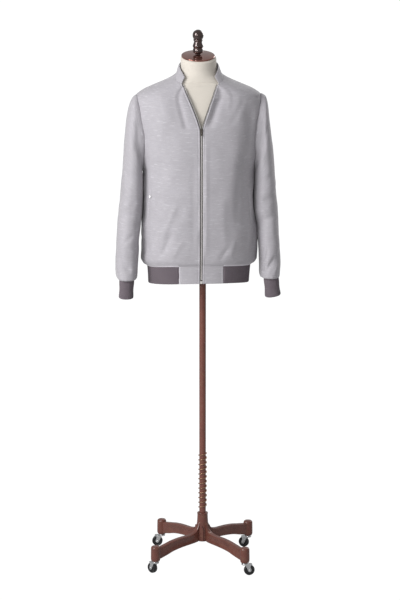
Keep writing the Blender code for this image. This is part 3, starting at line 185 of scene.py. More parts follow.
# height, half width, depth in front, depth behind, squareness, share of the neck's lean
FORM = np.array((
    (1.0720, 0.120, 0.085, 0.080, 2.4, 0.0), (1.0790, 0.139, 0.099, 0.093, 2.4, 0.0),
    (1.1100, 0.151, 0.107, 0.100, 2.5, 0.0), (1.2200, 0.150, 0.106, 0.102, 2.5, 0.0),
    (1.3300, 0.160, 0.116, 0.108, 2.6, 0.0), (1.4300, 0.172, 0.122, 0.114, 2.6, 0.0),
    (1.5200, 0.180, 0.119, 0.115, 2.6, 0.0), (1.5900, 0.187, 0.106, 0.108, 2.6, 0.0),
    (1.6300, 0.192, 0.094, 0.101, 2.6, 0.0), (1.6520, 0.1945, 0.0860, 0.0945, 2.6, 0.0),
    (1.6635, 0.1895, 0.0820, 0.0905, 2.6, 0.0), (1.6740, 0.1735, 0.0785, 0.0865, 2.6, 0.0),
    (1.6871, 0.1425, 0.0740, 0.0810, 2.6, 0.0), (1.7010, 0.1085, 0.0700, 0.0755, 2.5, 0.0),
    (1.7130, 0.0850, 0.0670, 0.0690, 2.3, 0.0), (1.7225, 0.0700, 0.0640, 0.0620, 2.1, 0.0),
    (1.7320, 0.0645, 0.0620, 0.0585, 2.0, 0.1), (1.7460, 0.0610, 0.0605, 0.0565, 2.0, 0.5),
    (1.7640, 0.0605, 0.0605, 0.0575, 2.0, 1.0), (1.7765, 0.0600, 0.0605, 0.0585, 2.0, 1.0),
    (1.7816, 0.0575, 0.0580, 0.0570, 2.0, 1.0),
))

# ---------------------------------------------------------------- the stand's shape
POLE_X, POLE_R = 0.014, 0.0116
POLE_FOOT_Z, FORM_BOTTOM_Z = 0.1773, 1.072
FORM_TOP_Z, FORM_SEAM_Z = 1.7700, 1.7005    # where the neck's top rounds in; the neck seam
COIL_TOP_Z, COIL_PITCH, COIL_TURNS, COIL_WIRE_R = 0.396, 0.0172, 11.8, 0.0019
DISC_TILT = math.radians(12.2)
DISC_R, DISC_THICK = 0.0565, 0.005
DISC_CENTRE = Vector((-0.0015, 0.0, 1.7845))
HUB_TOP_Z = 0.1770
LEG_REACH = 0.219
BOSS_BOTTOM_Z, BOSS_TOP_Z = 0.0470, 0.1000
WHEEL_FLAT_R = 0.0190 * math.cos(math.pi / 16)
WHEEL_HALF_WIDTH, CASTER_TRAIL = 0.0080, 0.0160
CHEEK_GAP, CHEEK_WALL = 0.0007, 0.0014
CASTERS = (("rear_left", 37.4, 150.0), ("rear_right", 127.4, 170.0),
           ("front_right", 217.4, 130.0), ("front_left", 307.4, 10.0))
# distance down from the finial's top, radius; a repeated row is a sharp edge
FINIAL = ((0.0, 0.0), (0.0006, 0.0046), (0.0022, 0.0086), (0.0052, 0.0131), (0.0095, 0.0165),
          (0.0150, 0.0184), (0.0195, 0.0188), (0.0245, 0.0180), (0.0290, 0.0164),
          (0.0318, 0.0149), (0.0318, 0.0149), (0.0330, 0.0158), (0.0352, 0.0163),
          (0.0366, 0.0158), (0.0374, 0.0145), (0.0374, 0.0145), (0.0410, 0.0141),
          (0.0450, 0.0150), (0.0500, 0.0170), (0.0545, 0.0182), (0.0580, 0.0176),
          (0.0612, 0.0158), (0.0612, 0.0158), (0.0628, 0.0154), (0.0640, 0.0166),
          (0.0640, 0.0166), (0.0668, 0.0175), (0.0710, 0.0179), (0.0748, 0.0174),
          (0.0775, 0.0160), (0.0790, 0.0128), (0.0803, 0.0107), (0.0820, 0.0098),
          (0.0835, 0.0097))
# distance down from the hub's top, radius
HUB = ((0.0, 0.0), (0.0, 0.0132), (0.0, 0.0132), (0.0, 0.0176), (0.0010, 0.0188),
       (0.0030, 0.0192), (0.0048, 0.0187), (0.0052, 0.0181), (0.0052, 0.0181),
       (0.0200, 0.0186), (0.0380, 0.0198), (0.0560, 0.0216), (0.0700, 0.0231),
       (0.0900, 0.0236), (0.0985, 0.0228), (0.1010, 0.0214), (0.1020, 0.0190), (0.1020, 0.0))
# distance from the hub's axis, lower edge, upper edge, half width
LEG = np.array((
    (0.0120, 0.0780, 0.1600, 0.0026), (0.0190, 0.0765, 0.1460, 0.0042),
    (0.0245, 0.0755, 0.1320, 0.0062), (0.0320, 0.0750, 0.1195, 0.0078),
    (0.0400, 0.0745, 0.1130, 0.0085), (0.0700, 0.0735, 0.1065, 0.0095),
    (0.1050, 0.0715, 0.1060, 0.0095), (0.1400, 0.0670, 0.1035, 0.0090),
    (0.1750, 0.0580, 0.0975, 0.0085), (0.2120, 0.0515, 0.0925, 0.0080),
))
# a fork cheek, slimmer than the CAD's: along the trail and up from the axle
CHEEK = ((0.0040, -0.0040), (0.0055, 0.0015), (0.0030, 0.0085), (0.0020, 0.0140),
         (0.0050, 0.0197), (0.0050, 0.0197), (-0.0165, 0.0197), (-0.0165, 0.0197),
         (-0.0130, 0.0140), (-0.0095, 0.0060), (-0.0060, -0.0015), (-0.0015, -0.0055))
# height, degrees from the centre front
WELT = ((1.345, 58.5), (1.312, 60.0), (1.279, 61.0), (1.246, 62.0), (1.213, 63.5))
WELT_WIDTH, WELT_WALL, WELT_LIFT = 0.0145, 0.0014, 0.0012
WELT_HALF_TURN = 2.4       # degrees from the welt's middle to its edge
SNAP_Z, SNAP_LIFT = 1.318, 0.0025
SNAP_DEGREES = 60.0 - 0.75 * WELT_HALF_TURN


# ---------------------------------------------------------------- settings
class JacketSettings(bpy.types.PropertyGroup):
    """Sizes and colours of the garment."""

    wall: FloatProperty(
        name="Cloth thickness", description="Thickness of the shell cloth with its fusing",
        default=0.0020, min=0.001, max=0.003, unit="LENGTH")
    rib_wall: FloatProperty(
        name="Knit thickness", description="Thickness of the knit at the hem and the cuffs",
        default=0.0024, min=0.001, max=0.003, unit="LENGTH")
    step: FloatProperty(
        name="Mesh step", description="Distance between the points of a cloth panel",
        default=0.0040, min=0.002, max=0.02, unit="LENGTH")
    seam_depth: FloatProperty(
        name="Seam depth", description="How far a panel's edge rolls in at its seams",
        default=0.0006, min=0.0, max=0.003, unit="LENGTH")
    stitch_inset: FloatProperty(
        name="Topstitch inset", description="Distance of the topstitching from an edge",
        default=0.0065, min=0.002, max=0.02, unit="LENGTH")
    stitch_pitch: FloatProperty(
        name="Stitch pitch", description="Distance from one stitch to the next",
        default=0.0032, min=0.001, max=0.01, unit="LENGTH")
    tooth_pitch: FloatProperty(
        name="Tooth pitch", description="Distance from one zip tooth to the next on its side",
        default=0.0024, min=0.001, max=0.006, unit="LENGTH")
    rib_pitch: FloatProperty(
        name="Rib pitch", description="Width of one rib of the knit",
        default=0.0034, min=0.002, max=0.01, unit="LENGTH")
    rib_relief: FloatProperty(
        name="Rib relief", description="Height of the knit's ribs",
        default=0.0009, min=0.0, max=0.002, unit="LENGTH")
    cloth: FloatVectorProperty(
        name="Cloth", description="Ground colour of the cloth", subtype="COLOR", size=3,
        default=(0.372, 0.357, 0.383), min=0.0, max=1.0)
    slub: FloatVectorProperty(
        name="Slub", description="Colour of the thick yarns in the cloth", subtype="COLOR",
        size=3, default=(0.66, 0.65, 0.68), min=0.0, max=1.0)
    knit: FloatVectorProperty(
        name="Knit", description="Colour of the hem and cuff knit", subtype="COLOR", size=3,
        default=(0.124, 0.102, 0.118), min=0.0, max=1.0)
    tape: FloatVectorProperty(
        name="Zip tape", description="Colour of the zip's tape", subtype="COLOR", size=3,
        default=(0.030, 0.024, 0.021), min=0.0, max=1.0)
    teeth: FloatVectorProperty(
        name="Zip metal", description="Colour of the zip's teeth and slider", subtype="COLOR",
        size=3, default=(0.60, 0.58, 0.565), min=0.0, max=1.0)


class StandSettings(bpy.types.PropertyGroup):
    """Colours and fineness of the form and the stand."""

    linen: FloatVectorProperty(
        name="Linen", description="Colour of the form's cover", subtype="COLOR", size=3,
        default=(0.59, 0.548, 0.490), min=0.0, max=1.0)
    paint: FloatVectorProperty(
        name="Paint", description="Colour of the pole and the cast base", subtype="COLOR",
        size=3, default=(0.112, 0.038, 0.028), min=0.0, max=1.0)
    worn: FloatVectorProperty(
        name="Worn paint", description="Colour where the paint is rubbed thin",
        subtype="COLOR", size=3, default=(0.150, 0.075, 0.044), min=0.0, max=1.0)
    disc: FloatVectorProperty(
        name="Disc", description="Colour of the neck disc", subtype="COLOR", size=3,
        default=(0.27, 0.110, 0.085), min=0.0, max=1.0)
    bronze: FloatVectorProperty(
        name="Finial", description="Colour of the finial", subtype="COLOR", size=3,
        default=(0.045, 0.023, 0.020), min=0.0, max=1.0)
    sides: IntProperty(
        name="Sides", description="Number of sides of a turned piece", default=64, min=12,
        max=128)


class StudioSettings(bpy.types.PropertyGroup):
    """The camera and the lights."""

    azimuth: FloatProperty(
        name="Azimuth", description="The camera's angle round the jacket",
        default=math.radians(-4.5), subtype="ANGLE")
    pitch: FloatProperty(
        name="Pitch", description="How far the camera looks down",
        default=math.radians(12.40), subtype="ANGLE")
    distance: FloatProperty(
        name="Distance", description="Level distance from the camera to the jacket",
        default=8.0, unit="LENGTH")
    height: FloatProperty(
        name="Height", description="The camera's height", default=2.7, unit="LENGTH")
    lens: FloatProperty(
        name="Lens", description="Focal length in millimetres", default=95.0, min=20.0)
    key: FloatProperty(
        name="Key light", description="Strength of the large light from the left, in watts",
        default=250.0, min=0.0)
    fill: FloatProperty(
        name="Fill light", description="Strength of the surrounding light", default=0.44,
        min=0.0)


# ---------------------------------------------------------------- curves through tables
class Profile:
    """A smooth curve through a table's column, read at any heights."""

    def __init__(self, heights, values):
        self.x, self.y = np.array(heights, float), np.array(values, float)
        rise = np.diff(self.y) / np.diff(self.x)
        before, after = rise[:-1], rise[1:]
        even = before * after > 0
        self.slope = np.zeros(len(self.y))
        middle = np.zeros(len(before))
        middle[even] = 2 * before[even] * after[even] / (before[even] + after[even])
        self.slope[1:-1] = middle

    def __call__(self, at):
        at = np.clip(at, self.x[0], self.x[-1])
        i = np.clip(np.searchsorted(self.x, at, side="right") - 1, 0, len(self.x) - 2)
        span = self.x[i + 1] - self.x[i]
        t = (at - self.x[i]) / span
        return (self.y[i] * (1 + 2 * t) * (1 - t) ** 2 + self.y[i + 1] * t * t * (3 - 2 * t)
                + span * self.slope[i] * t * (1 - t) ** 2
                - span * self.slope[i + 1] * t * t * (1 - t))


HALF_WIDTH, FRONT_DEPTH, BACK_DEPTH = (Profile(TORSO[:, 0], TORSO[:, k]) for k in (1, 2, 3))
FRONT_LIFT, BACK_LIFT = (Profile(HEM_LIFT[:, 0], HEM_LIFT[:, k]) for k in (1, 2))


def signed_power(value, power):
    return np.sign(value) * np.abs(value) ** power


def unit(vectors):
    return vectors / np.maximum(np.linalg.norm(vectors, axis=-1, keepdims=True), 1e-12)


def smooth_step(value, low, high):
    t = np.clip((value - low) / (high - low), 0.0, 1.0)
    return t * t * (3 - 2 * t)


def bell(distance, width):
    """1 at no distance, falling to almost nothing two widths away."""
    return np.exp(-(distance / width) ** 2)


def fold_push(folds, degrees, z, radius, tapered=False):
    """How far the folds move the cloth out at each angle and height."""
    push = np.zeros(np.broadcast(degrees, z).shape)
    for angle0, z0, angle1, z1, width, depth in folds:
        u1, v1 = math.radians(angle1 - angle0) * radius, z1 - z0
        u = np.radians((degrees - angle0 + 180) % 360 - 180) * radius
        v = z - z0
        t = np.clip((u * u1 + v * v1) / (u1 * u1 + v1 * v1), 0.0, 1.0)
        here = np.exp(-((u - u1 * t) ** 2 + (v - v1 * t) ** 2) / width ** 2)
        push += depth * here * (1 - (2 * t - 1) ** 4 if tapered else 1.0)
    return push


def swell(u, v):
    """The cloth's slow unevenness, under a millimetre."""
    waves = ((31, 44, 0.3, 4.5), (-58, 37, 1.9, 3.6), (83, -29, 4.1, 2.6), (22, 95, 2.6, 2.6),
             (-47, -71, 5.2, 2.2), (120, 33, 0.9, 1.3), (18, 151, 3.7, 1.4))
    return 1e-4 * sum(depth * np.sin(a * u + b * v + phase) for a, b, phase, depth in waves)


# ---------------------------------------------------------------- the torso
def torso(angle, z, creased=True):
    """The jacket's outer surface: angle 0 is the centre front, a right angle the left side."""
    half, cosine = HALF_WIDTH(z), np.cos(angle)
    depth = np.where(cosine > 0, FRONT_DEPTH(z), BACK_DEPTH(z))
    x = half * signed_power(np.sin(angle), 2 / ACROSS)
    y = -depth * cosine
    out_x = np.sign(x) * (np.abs(x) / half) ** (ACROSS - 1) * ACROSS / half
    out_y = 2 * y / depth ** 2
    long = np.hypot(out_x, out_y)
    degrees = np.degrees(angle)
    turn = np.abs((degrees + 180) % 360 - 180)
    loose = smooth_step(turn, 0.6, 1.8) * smooth_step(z, 1.07, 1.10)
    push = fold_push(BODY_FOLDS, degrees, z, GIRTH_RADIUS)
    if creased:
        creases = fold_push(BODY_CREASES, degrees, z, GIRTH_RADIUS, tapered=True)
        push = push + loose * (CREASE_GAIN * creases + 1.3 * swell(angle * GIRTH_RADIUS, z))
    lift = np.abs(cosine) ** 1.5 * np.where(cosine > 0, FRONT_LIFT(z), BACK_LIFT(z))
    return np.stack([x + out_x / long * push, y + out_y / long * push, z + lift], -1)


def angle_of_x(x, z):
    return np.arcsin(np.minimum(1.0, (x / HALF_WIDTH(z)) ** (ACROSS / 2)))


def armhole_angle(z, depth):
    """Where the armhole crosses a height, measured from the side seam."""
    rise = np.clip((z - ARM_MIDDLE) / ARM_HALF, -1.0, 1.0)
    return np.arcsin(ARM_HALF_DEPTH * np.sqrt(1 - rise * rise) / depth(z))


def graded(length, step, inset=0.0):
    """Shares from 0 to 1: close together at both ends, where the edge rolls, then even."""
    near = [0.0, 0.0006, 0.0014, 0.0026, 0.0042]
    if inset:
        near += [inset - 0.0009, inset, inset + 0.0009, inset + 0.0025]
    near = np.array(near)
    count = max(2, round((length - 2 * near[-1]) / step))
    middle = np.linspace(near[-1], length - near[-1], count + 1)
    return np.concatenate([near[:-1], middle, length - near[-2::-1]]) / length


def body_levels(step):
    lower = RIB_TOP_Z + (ARM_BOTTOM - RIB_TOP_Z) * graded(ARM_BOTTOM - RIB_TOP_Z, step)
    steps = max(8, round((ARM_TOP - ARM_BOTTOM) * 1.3 / step))
    arm = ARM_MIDDLE - ARM_HALF * np.cos(np.pi * np.arange(steps + 1) / steps)
    shoulder = ARM_TOP + (NECK_POINT_Z - ARM_TOP) * graded(NECK_POINT_Z - ARM_TOP, step * 0.8)
    return np.concatenate([lower[:-1], arm, shoulder[1:]])


def zip_edge_x(z):
    share = np.clip((z - SLIDER_Z) / (NECK_CORNER_Z - SLIDER_Z), 0.0, 1.0)
    return ZIP_HALF_GAP + (NECK_CORNER_X - ZIP_HALF_GAP) * share ** V_CURVE


def neck_drop(z):
    share = np.maximum(0.0, z - 1.520) / (NECK_POINT_Z - 1.520)
    return (NECK_POINT_Z - NECK_CORNER_Z) * share ** 1.5


def front_grid(side, step, inset):
    """Points of a front, whose first rows are the tab beside the hem rib, and the tab's size."""
    tab_levels = HEM_Z + (RIB_TOP_Z - HEM_Z) * graded(RIB_TOP_Z - HEM_Z, step, inset)[:-1]
    levels = np.concatenate([tab_levels, body_levels(step)])[:, None]
    inner = graded(0.069, step, inset) * 0.2
    outer = 0.2 + graded(0.22, step) * 0.8
    places = np.concatenate([inner[:-1], outer])[None, :]
    drop = neck_drop(levels)
    start = angle_of_x(zip_edge_x(levels - drop), levels - drop)
    end = np.pi / 2 - armhole_angle(levels, FRONT_DEPTH) - 0.55 * SEAM / FRONT_DEPTH(levels)
    edge_at_tab = angle_of_x(ZIP_HALF_GAP, RIB_TOP_Z)
    tab_share = (angle_of_x(TAB_X, RIB_TOP_Z) - edge_at_tab) / (np.pi / 2 - edge_at_tab)
    tab = np.where(levels <= RIB_TOP_Z, angle_of_x(TAB_X, levels),
                   start + (end - start) * tab_share)
    angle = np.where(places <= 0.2, start + (tab - start) * places / 0.2,
                     tab + (end - tab) * (places - 0.2) / 0.8)
    return torso(side * angle, levels - drop * (1 - places)), len(tab_levels), len(inner) - 1


def back_grid(step):
    levels = body_levels(step)[:, None]
    share = graded(0.42, step)[None, :]
    reach = np.pi / 2 + armhole_angle(levels, BACK_DEPTH) + 0.55 * SEAM / BACK_DEPTH(levels)
    height = np.maximum(0.0, levels - 1.62) / (NECK_POINT_Z - 1.62)
    z = levels + NECK_BACK_RISE * height ** 2 * np.sin(np.pi * share)
    return torso(reach + (2 * np.pi - 2 * reach) * share, z)


# ---------------------------------------------------------------- cloth shells
def grid_normals(grid, centre, wrap=False):
    """Unit normals of a grid of points, turned away from its centre line."""
    if wrap:
        across = np.roll(grid, -1, 1) - np.roll(grid, 1, 1)
    else:
        across = np.gradient(grid, axis=1)
    normals = unit(np.cross(across, np.gradient(grid, axis=0)))
    if np.sum(normals * (grid - centre)) < 0:
        normals = -normals
    return normals


def row_lengths(grid):
    """The distance of each point along its row, from the row's first point."""
    steps = np.linalg.norm(np.diff(grid, axis=1), axis=2)
    return np.concatenate([np.zeros((len(grid), 1)), np.cumsum(steps, axis=1)], axis=1)


def at_distance(grid, distance):
    """The point of each row that lies a distance along it."""
    lengths = row_lengths(grid)
    return np.array([[np.interp(distance, along, line[:, k]) for k in range(3)]
                     for along, line in zip(lengths, grid)])


def border_distance(grid, keep):
    """Each point's distance from the nearest edge of the panel."""
    rows, columns = grid.shape[:2]
    count = np.zeros((rows, columns), int)
    right = (np.arange(keep.shape[1]) + 1) % columns
    left = np.arange(keep.shape[1])
    for down in (0, 1):
        for ways in (left, right):
            np.add.at(count, (slice(down, rows - 1 + down), ways), keep.astype(int))
    border = grid[(count > 0) & (count < 4)]
    tree = KDTree(len(border))
    for k, point in enumerate(border):
        tree.insert(point, k)
    tree.balance()
    return np.array([tree.find(p)[2] for p in grid.reshape(-1, 3)]).reshape(rows, columns)


def shell_mesh(name, outer, inner, keep, cloth_uv, edge_highlight):
    """A closed wall between two grids of points, with a UV map in metres."""
    rows, columns = outer.shape[:2]
    i, j = np.nonzero(keep)
    after = (j + 1) % columns
    corners = np.stack([i * columns + j, i * columns + after,
                        (i + 1) * columns + after, (i + 1) * columns + j], 1)
    places = np.stack([cloth_uv[i, j], cloth_uv[i, j + 1], cloth_uv[i + 1, j + 1],
                       cloth_uv[i + 1, j]], 1)
    a, b, c = (outer.reshape(-1, 3)[corners[:, k]] for k in (0, 1, 2))
    away = np.cross(b - a, c - a)
    if np.sum(away * (a - inner.reshape(-1, 3)[corners[:, 0]])) < 0:
        corners, places = corners[:, ::-1], places[:, ::-1]
    one_way = {}
    for face, where in zip(corners.tolist(), places):
        for k in range(4):
            edge = (face[k], face[(k + 1) % 4])
            if (edge[1], edge[0]) in one_way:
                del one_way[(edge[1], edge[0])]
            else:
                one_way[edge] = (where[k], where[(k + 1) % 4])
    total = rows * columns
    rim = np.array([(b, a, a + total, b + total) for a, b in one_way])
    rim_places = np.array([(q, p, p, q) for p, q in one_way.values()])
    faces = np.concatenate([corners, corners[:, ::-1] + total, rim])
    spots = np.concatenate([places, places[:, ::-1], rim_places])
    used, renamed = np.unique(faces, return_inverse=True)
    points = np.concatenate([outer.reshape(-1, 3), inner.reshape(-1, 3)])[used]
    mesh = bpy.data.meshes.new(name)
    mesh.from_pydata(points.tolist(), [], renamed.reshape(-1, 4).tolist())
    mesh.uv_layers.new(name="cloth").data.foreach_set("uv", spots.ravel())
    # the share of painted highlight at each point, for the cloth's shader
    if edge_highlight is not None:
        shares = np.concatenate([edge_highlight.ravel(), edge_highlight.ravel()])[used]
        mesh.attributes.new("edge_highlight", "FLOAT", "POINT").data.foreach_set("value", shares)
    mesh.shade_smooth()
    mesh.set_sharp_from_angle(angle=math.radians(62))
    return mesh


def shell(name, outer, wall, centre=None, wrap=False, keep=None, uv=None, roll=0.0011,
          dent=0.0, edge_highlight=None):
    """A thin cloth panel: its edges roll in at the seams, and its back lies a wall behind.

    dent sinks the cloth, and the last argument is a painted highlight: where the shader paints the
    cloth lighter along its edges.
    """
    rows, columns = outer.shape[:2]
    if keep is None:
        keep = np.ones((rows - 1, columns if wrap else columns - 1), bool)
    if centre is None:
        centre = outer * np.array([0, 0, 1])
    normals = grid_normals(outer, centre, wrap)
    away = border_distance(outer, keep)
    sink = roll * np.clip(1 - away / 0.0045, 0, 1) ** 2 + dent
    thin = 0.15 * wall * np.clip(1 - away / 0.0012, 0, 1)
    if uv is None:
        closed = np.concatenate([outer, outer[:, :1]], 1) if wrap else outer
        uv = np.stack([row_lengths(closed), closed[..., 2]], -1)
    face = outer - normals * (sink + thin)[..., None]
    back = outer - normals * (sink + wall - thin)[..., None]
    return shell_mesh(name, face, back, keep, uv, edge_highlight), normals, face


# ---------------------------------------------------------------- plain solids
def add_mesh(name, points, faces, sharp=40):
    mesh = bpy.data.meshes.new(name)
    mesh.from_pydata([tuple(p) for p in points], [], [tuple(f) for f in faces])
    mesh.shade_smooth()
    mesh.set_sharp_from_angle(angle=math.radians(sharp))
    return mesh


def ring_faces(rings, size):
    """The faces between rings of points that follow each other."""
    return [(i * size + k, i * size + (k + 1) % size, (i + 1) * size + (k + 1) % size,
             (i + 1) * size + k) for i in range(rings - 1) for k in range(size)]


def add_cap(points, faces, ring, size, tip, turned):
    """Closes a ring with a fan round its tip."""
    middle = len(points)
    points.append(tuple(tip))
    for k in range(size):
        a, b = ring * size + k, ring * size + (k + 1) % size
        faces.append((b, a, middle) if turned else (a, b, middle))


def smooth_line(points, steps=4):
    """A round curve through the points; a repeated point is a corner."""
    points = [np.array(p, float) for p in points]
    result = [points[0]]
    for k in range(len(points) - 1):
        a, b = points[k], points[k + 1]
        if np.allclose(a, b):
            continue
        before = points[k - 1] if k and not np.allclose(points[k - 1], a) else a
        beyond = points[k + 2] if k + 2 < len(points) else b
        beyond = b if np.allclose(beyond, b) else beyond
        for step in range(1, steps + 1):
            t = step / steps
            result.append(0.5 * (2 * a + (b - before) * t + (2 * before - 5 * a + 4 * b - beyond)
                                 * t * t + (3 * a - before - 3 * b + beyond) * t ** 3))
    return result


def lathe(name, profile, sides, matrix=Matrix(), sharp=40):
    """A closed turned mesh round Z from (radius, z) points that run down to the axis."""
    points, faces = [], []
    rings = []
    for r, z in profile:
        if r < 1e-6:
            rings.append([len(points)])
            points.append((0, 0, z))
            continue
        rings.append(range(len(points), len(points) + sides))
        for k in range(sides):
            angle = 2 * math.pi * k / sides
            points.append((r * math.cos(angle), r * math.sin(angle), z))
    for high, low in zip(rings, rings[1:]):
        for k in range(sides):
            n = (k + 1) % sides
            if len(high) == 1 and len(low) == 1:
                break
            if len(high) == 1:
                faces.append((high[0], low[k], low[n]))
            elif len(low) == 1:
                faces.append((high[k], low[0], high[n]))
            else:
                faces.append((high[k], low[k], low[n], high[n]))
    mesh = add_mesh(name, points, faces, sharp)
    mesh.transform(matrix)
    return mesh


def plate(name, outline, low, high, edge, matrix=Matrix()):
    """A flat plate in XY with its edges broken; outline runs anticlockwise."""
    outline = [Vector(p).to_2d() for p in outline]
    count = len(outline)
    inset = []
    for k in range(count):
        along = (outline[(k + 1) % count] - outline[k - 1]).normalized()
        inset.append(outline[k] + Vector((-along.y, along.x)) * edge)
    rings = ((inset, low), (outline, low + edge), (outline, high - edge), (inset, high))
    points = [(p.x, p.y, z) for ring, z in rings for p in ring]
    faces = [tuple(range(count))[::-1], tuple(range(3 * count, 4 * count))]
    mesh = add_mesh(name, points, faces + ring_faces(4, count), 35)
    mesh.transform(matrix)
    return mesh


def rounded_box(half_x, half_y, radius, steps=5):
    """The outline of a rectangle with round corners, anticlockwise."""
    points = []
    for k, (sx, sy) in enumerate(((1, 1), (-1, 1), (-1, -1), (1, -1))):
        for step in range(steps + 1):
            angle = math.pi / 2 * (k + step / steps)
            points.append((sx * (half_x - radius) + radius * math.cos(angle),
                           sy * (half_y - radius) + radius * math.sin(angle)))
    return points


def joined_mesh(name, meshes):
    """One mesh out of several that touch or overlap."""
    work = bmesh.new()
    for mesh in meshes:
        work.from_mesh(mesh)
        bpy.data.meshes.remove(mesh)
    result = bpy.data.meshes.new(name)
    work.to_mesh(result)
    work.free()
    return result


def place_piece(name, mesh, slot, look=None, body=BODY, nodes=None):
    """Shows a mesh as a piece of the object, on its body and in place of its CAD nodes.

    A piece stands for the node of its own name and wears its slot's finish, unless nodes or
    look says otherwise.
    """
    mesh.materials.clear()
    mesh.materials.append(finish(look or slot))
    piece = bpy.data.objects.new(name, mesh)
    bpy.context.scene.collection.objects.link(piece)
    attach(piece, body)
    nodes = (name,) if nodes is None else nodes
    if nodes:
        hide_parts(*nodes)
    return piece


# ---------------------------------------------------------------- shader building
class Value:
    """A number that a shader node gives, so that shader maths reads as a sum."""

    def __init__(self, shader, socket):
        self.shader, self.socket = shader, socket

    def maths(self, operation, first, second=0.0):
        return self.shader.node("ShaderNodeMath", {"operation": operation}, {0: first, 1: second})

    def __add__(self, other):
        return self.maths("ADD", self, other)

    def __sub__(self, other):
        return self.maths("SUBTRACT", self, other)

    def __rsub__(self, other):
        return self.maths("SUBTRACT", other, self)

    def __mul__(self, other):
        return self.maths("MULTIPLY", self, other)

    def __truediv__(self, other):
        return self.maths("DIVIDE", self, other)

    __radd__, __rmul__ = __add__, __mul__

    def floor(self):
        return self.maths("FLOOR", self)

    def sine(self):
        return self.maths("SINE", self)

    def step(self, low, high, start=0.0, end=1.0):
        """Rises smoothly from start to end as the value goes from low to high."""
        return self.shader.node(
            "ShaderNodeMapRange", {"interpolation_type": "SMOOTHSTEP"},
            {"Value": self, "From Min": low, "From Max": high, "To Min": start, "To Max": end})


class Shader:
    """Builds one procedural material."""

    def __init__(self, name, **constants):
        self.material = bpy.data.materials.new(name)
        self.material.use_nodes = True
        self.tree = self.material.node_tree
        self.surface = self.tree.nodes["Principled BSDF"]
        for socket, value in constants.items():
            self.surface.inputs[socket.replace("_", " ").title().replace("Ior", "IOR")
                                ].default_value = value

    def node(self, kind, settings, sockets, out=0):
        made = self.tree.nodes.new(kind)
        for key, value in settings.items():
            setattr(made, key, value)
        for key, value in sockets.items():
            if isinstance(value, Value):
                self.tree.links.new(value.socket, made.inputs[key])
            elif isinstance(value, tuple) and len(value) == 3 and made.inputs[key].type == "RGBA":
                made.inputs[key].default_value = (*value, 1.0)
            else:
                made.inputs[key].default_value = value
        return Value(self, made.outputs[out])

    def feed(self, socket, value):
        self.tree.links.new(value.socket, self.surface.inputs[socket])

    def place(self):
        """The x, y and z of the piece's own space."""
        point = self.node("ShaderNodeTexCoord", {}, {}, out="Object")
        return [self.node("ShaderNodeSeparateXYZ", {}, {0: point}, out=k) for k in range(3)]

    def cloth_place(self):
        """Metres across and up the cloth."""
        point = self.node("ShaderNodeUVMap", {"uv_map": "cloth"}, {})
        return [self.node("ShaderNodeSeparateXYZ", {}, {0: point}, out=k) for k in range(2)]

    def noise(self, x, y, z=0.0, scale=1.0, detail=2.0, rough=0.5):
        point = self.node("ShaderNodeCombineXYZ", {}, {0: x, 1: y, 2: z})
        return self.node("ShaderNodeTexNoise", {},
                         {"Vector": point, "Scale": scale, "Detail": detail, "Roughness": rough})

    def mix(self, factor, first, second):
        return self.node("ShaderNodeMix", {"data_type": "RGBA"}, {0: factor, 6: first, 7: second},
                         out=2)

    def shade(self, colour, amount):
        """Darkens or lightens a colour by an amount near 1."""
        grey = self.node("ShaderNodeCombineColor", {}, {0: amount, 1: amount, 2: amount})
        return self.node("ShaderNodeMix", {"data_type": "RGBA", "blend_type": "MULTIPLY"},
                         {0: 1.0, 6: colour, 7: grey}, out=2)

    def bump(self, height, distance, strength=1.0):
        made = self.node("ShaderNodeBump", {}, {"Height": height, "Distance": distance,
                                                "Strength": strength})
        self.feed("Normal", made)


def slub_cloth():
    """Plain-weave suiting: grey melange with long thick and thin weft yarns and a soft sheen."""
    look = bpy.context.scene.jacket
    s = Shader("slub_cloth", roughness=0.66, sheen_weight=0.28, sheen_roughness=0.45,
               specular_ior_level=0.35)
    u, v = s.cloth_place()
    row = (v / 0.0013).floor()
    yarn = s.noise(u * 34.0 + row * 5.31, row * 0.917, scale=1.0, detail=1.0)
    slub = yarn.step(0.62, 0.76)
    thin = s.noise(u * 40.0 + row * 3.7, row * 1.73, scale=1.0, detail=1.0).step(0.62, 0.80)
    streak = s.noise(u * 260.0, v * 1900.0, scale=1.0, detail=2.0)
    broad = s.noise(u * 9.0, v * 7.0, scale=1.0, detail=2.0)
    weft = s.noise(u * 38.0, v * 330.0, scale=1.0, detail=2.0)
    colour = s.mix(slub * 0.42, tuple(look.cloth), tuple(look.slub))
    colour = s.mix(thin * 0.30, colour, tuple(c * 0.72 for c in look.cloth))
    # painted highlight: the cloth is lighter along the zip, tab and hem edges, as if they caught
    # the light
    edge_highlight = s.node("ShaderNodeAttribute", {"attribute_name": "edge_highlight"}, {}, out="Fac")
    tone = (streak.step(0.25, 0.75, 0.90, 1.09) * broad.step(0.3, 0.7, 0.975, 1.025)
            * weft.step(0.3, 0.7, 0.955, 1.045)
            * (1 + edge_highlight * 0.30))
    s.feed("Base Color", s.shade(colour, tone))
    weave = (u * (2 * math.pi / 0.0011)).sine() * (v * (2 * math.pi / 0.0010)).sine()
    s.bump(weave * 0.35 + slub * 1.2 + streak * 0.9, 0.00016, 0.8)
    s.feed("Roughness", slub.step(0.0, 1.0, 0.68, 0.56))
    return s.material


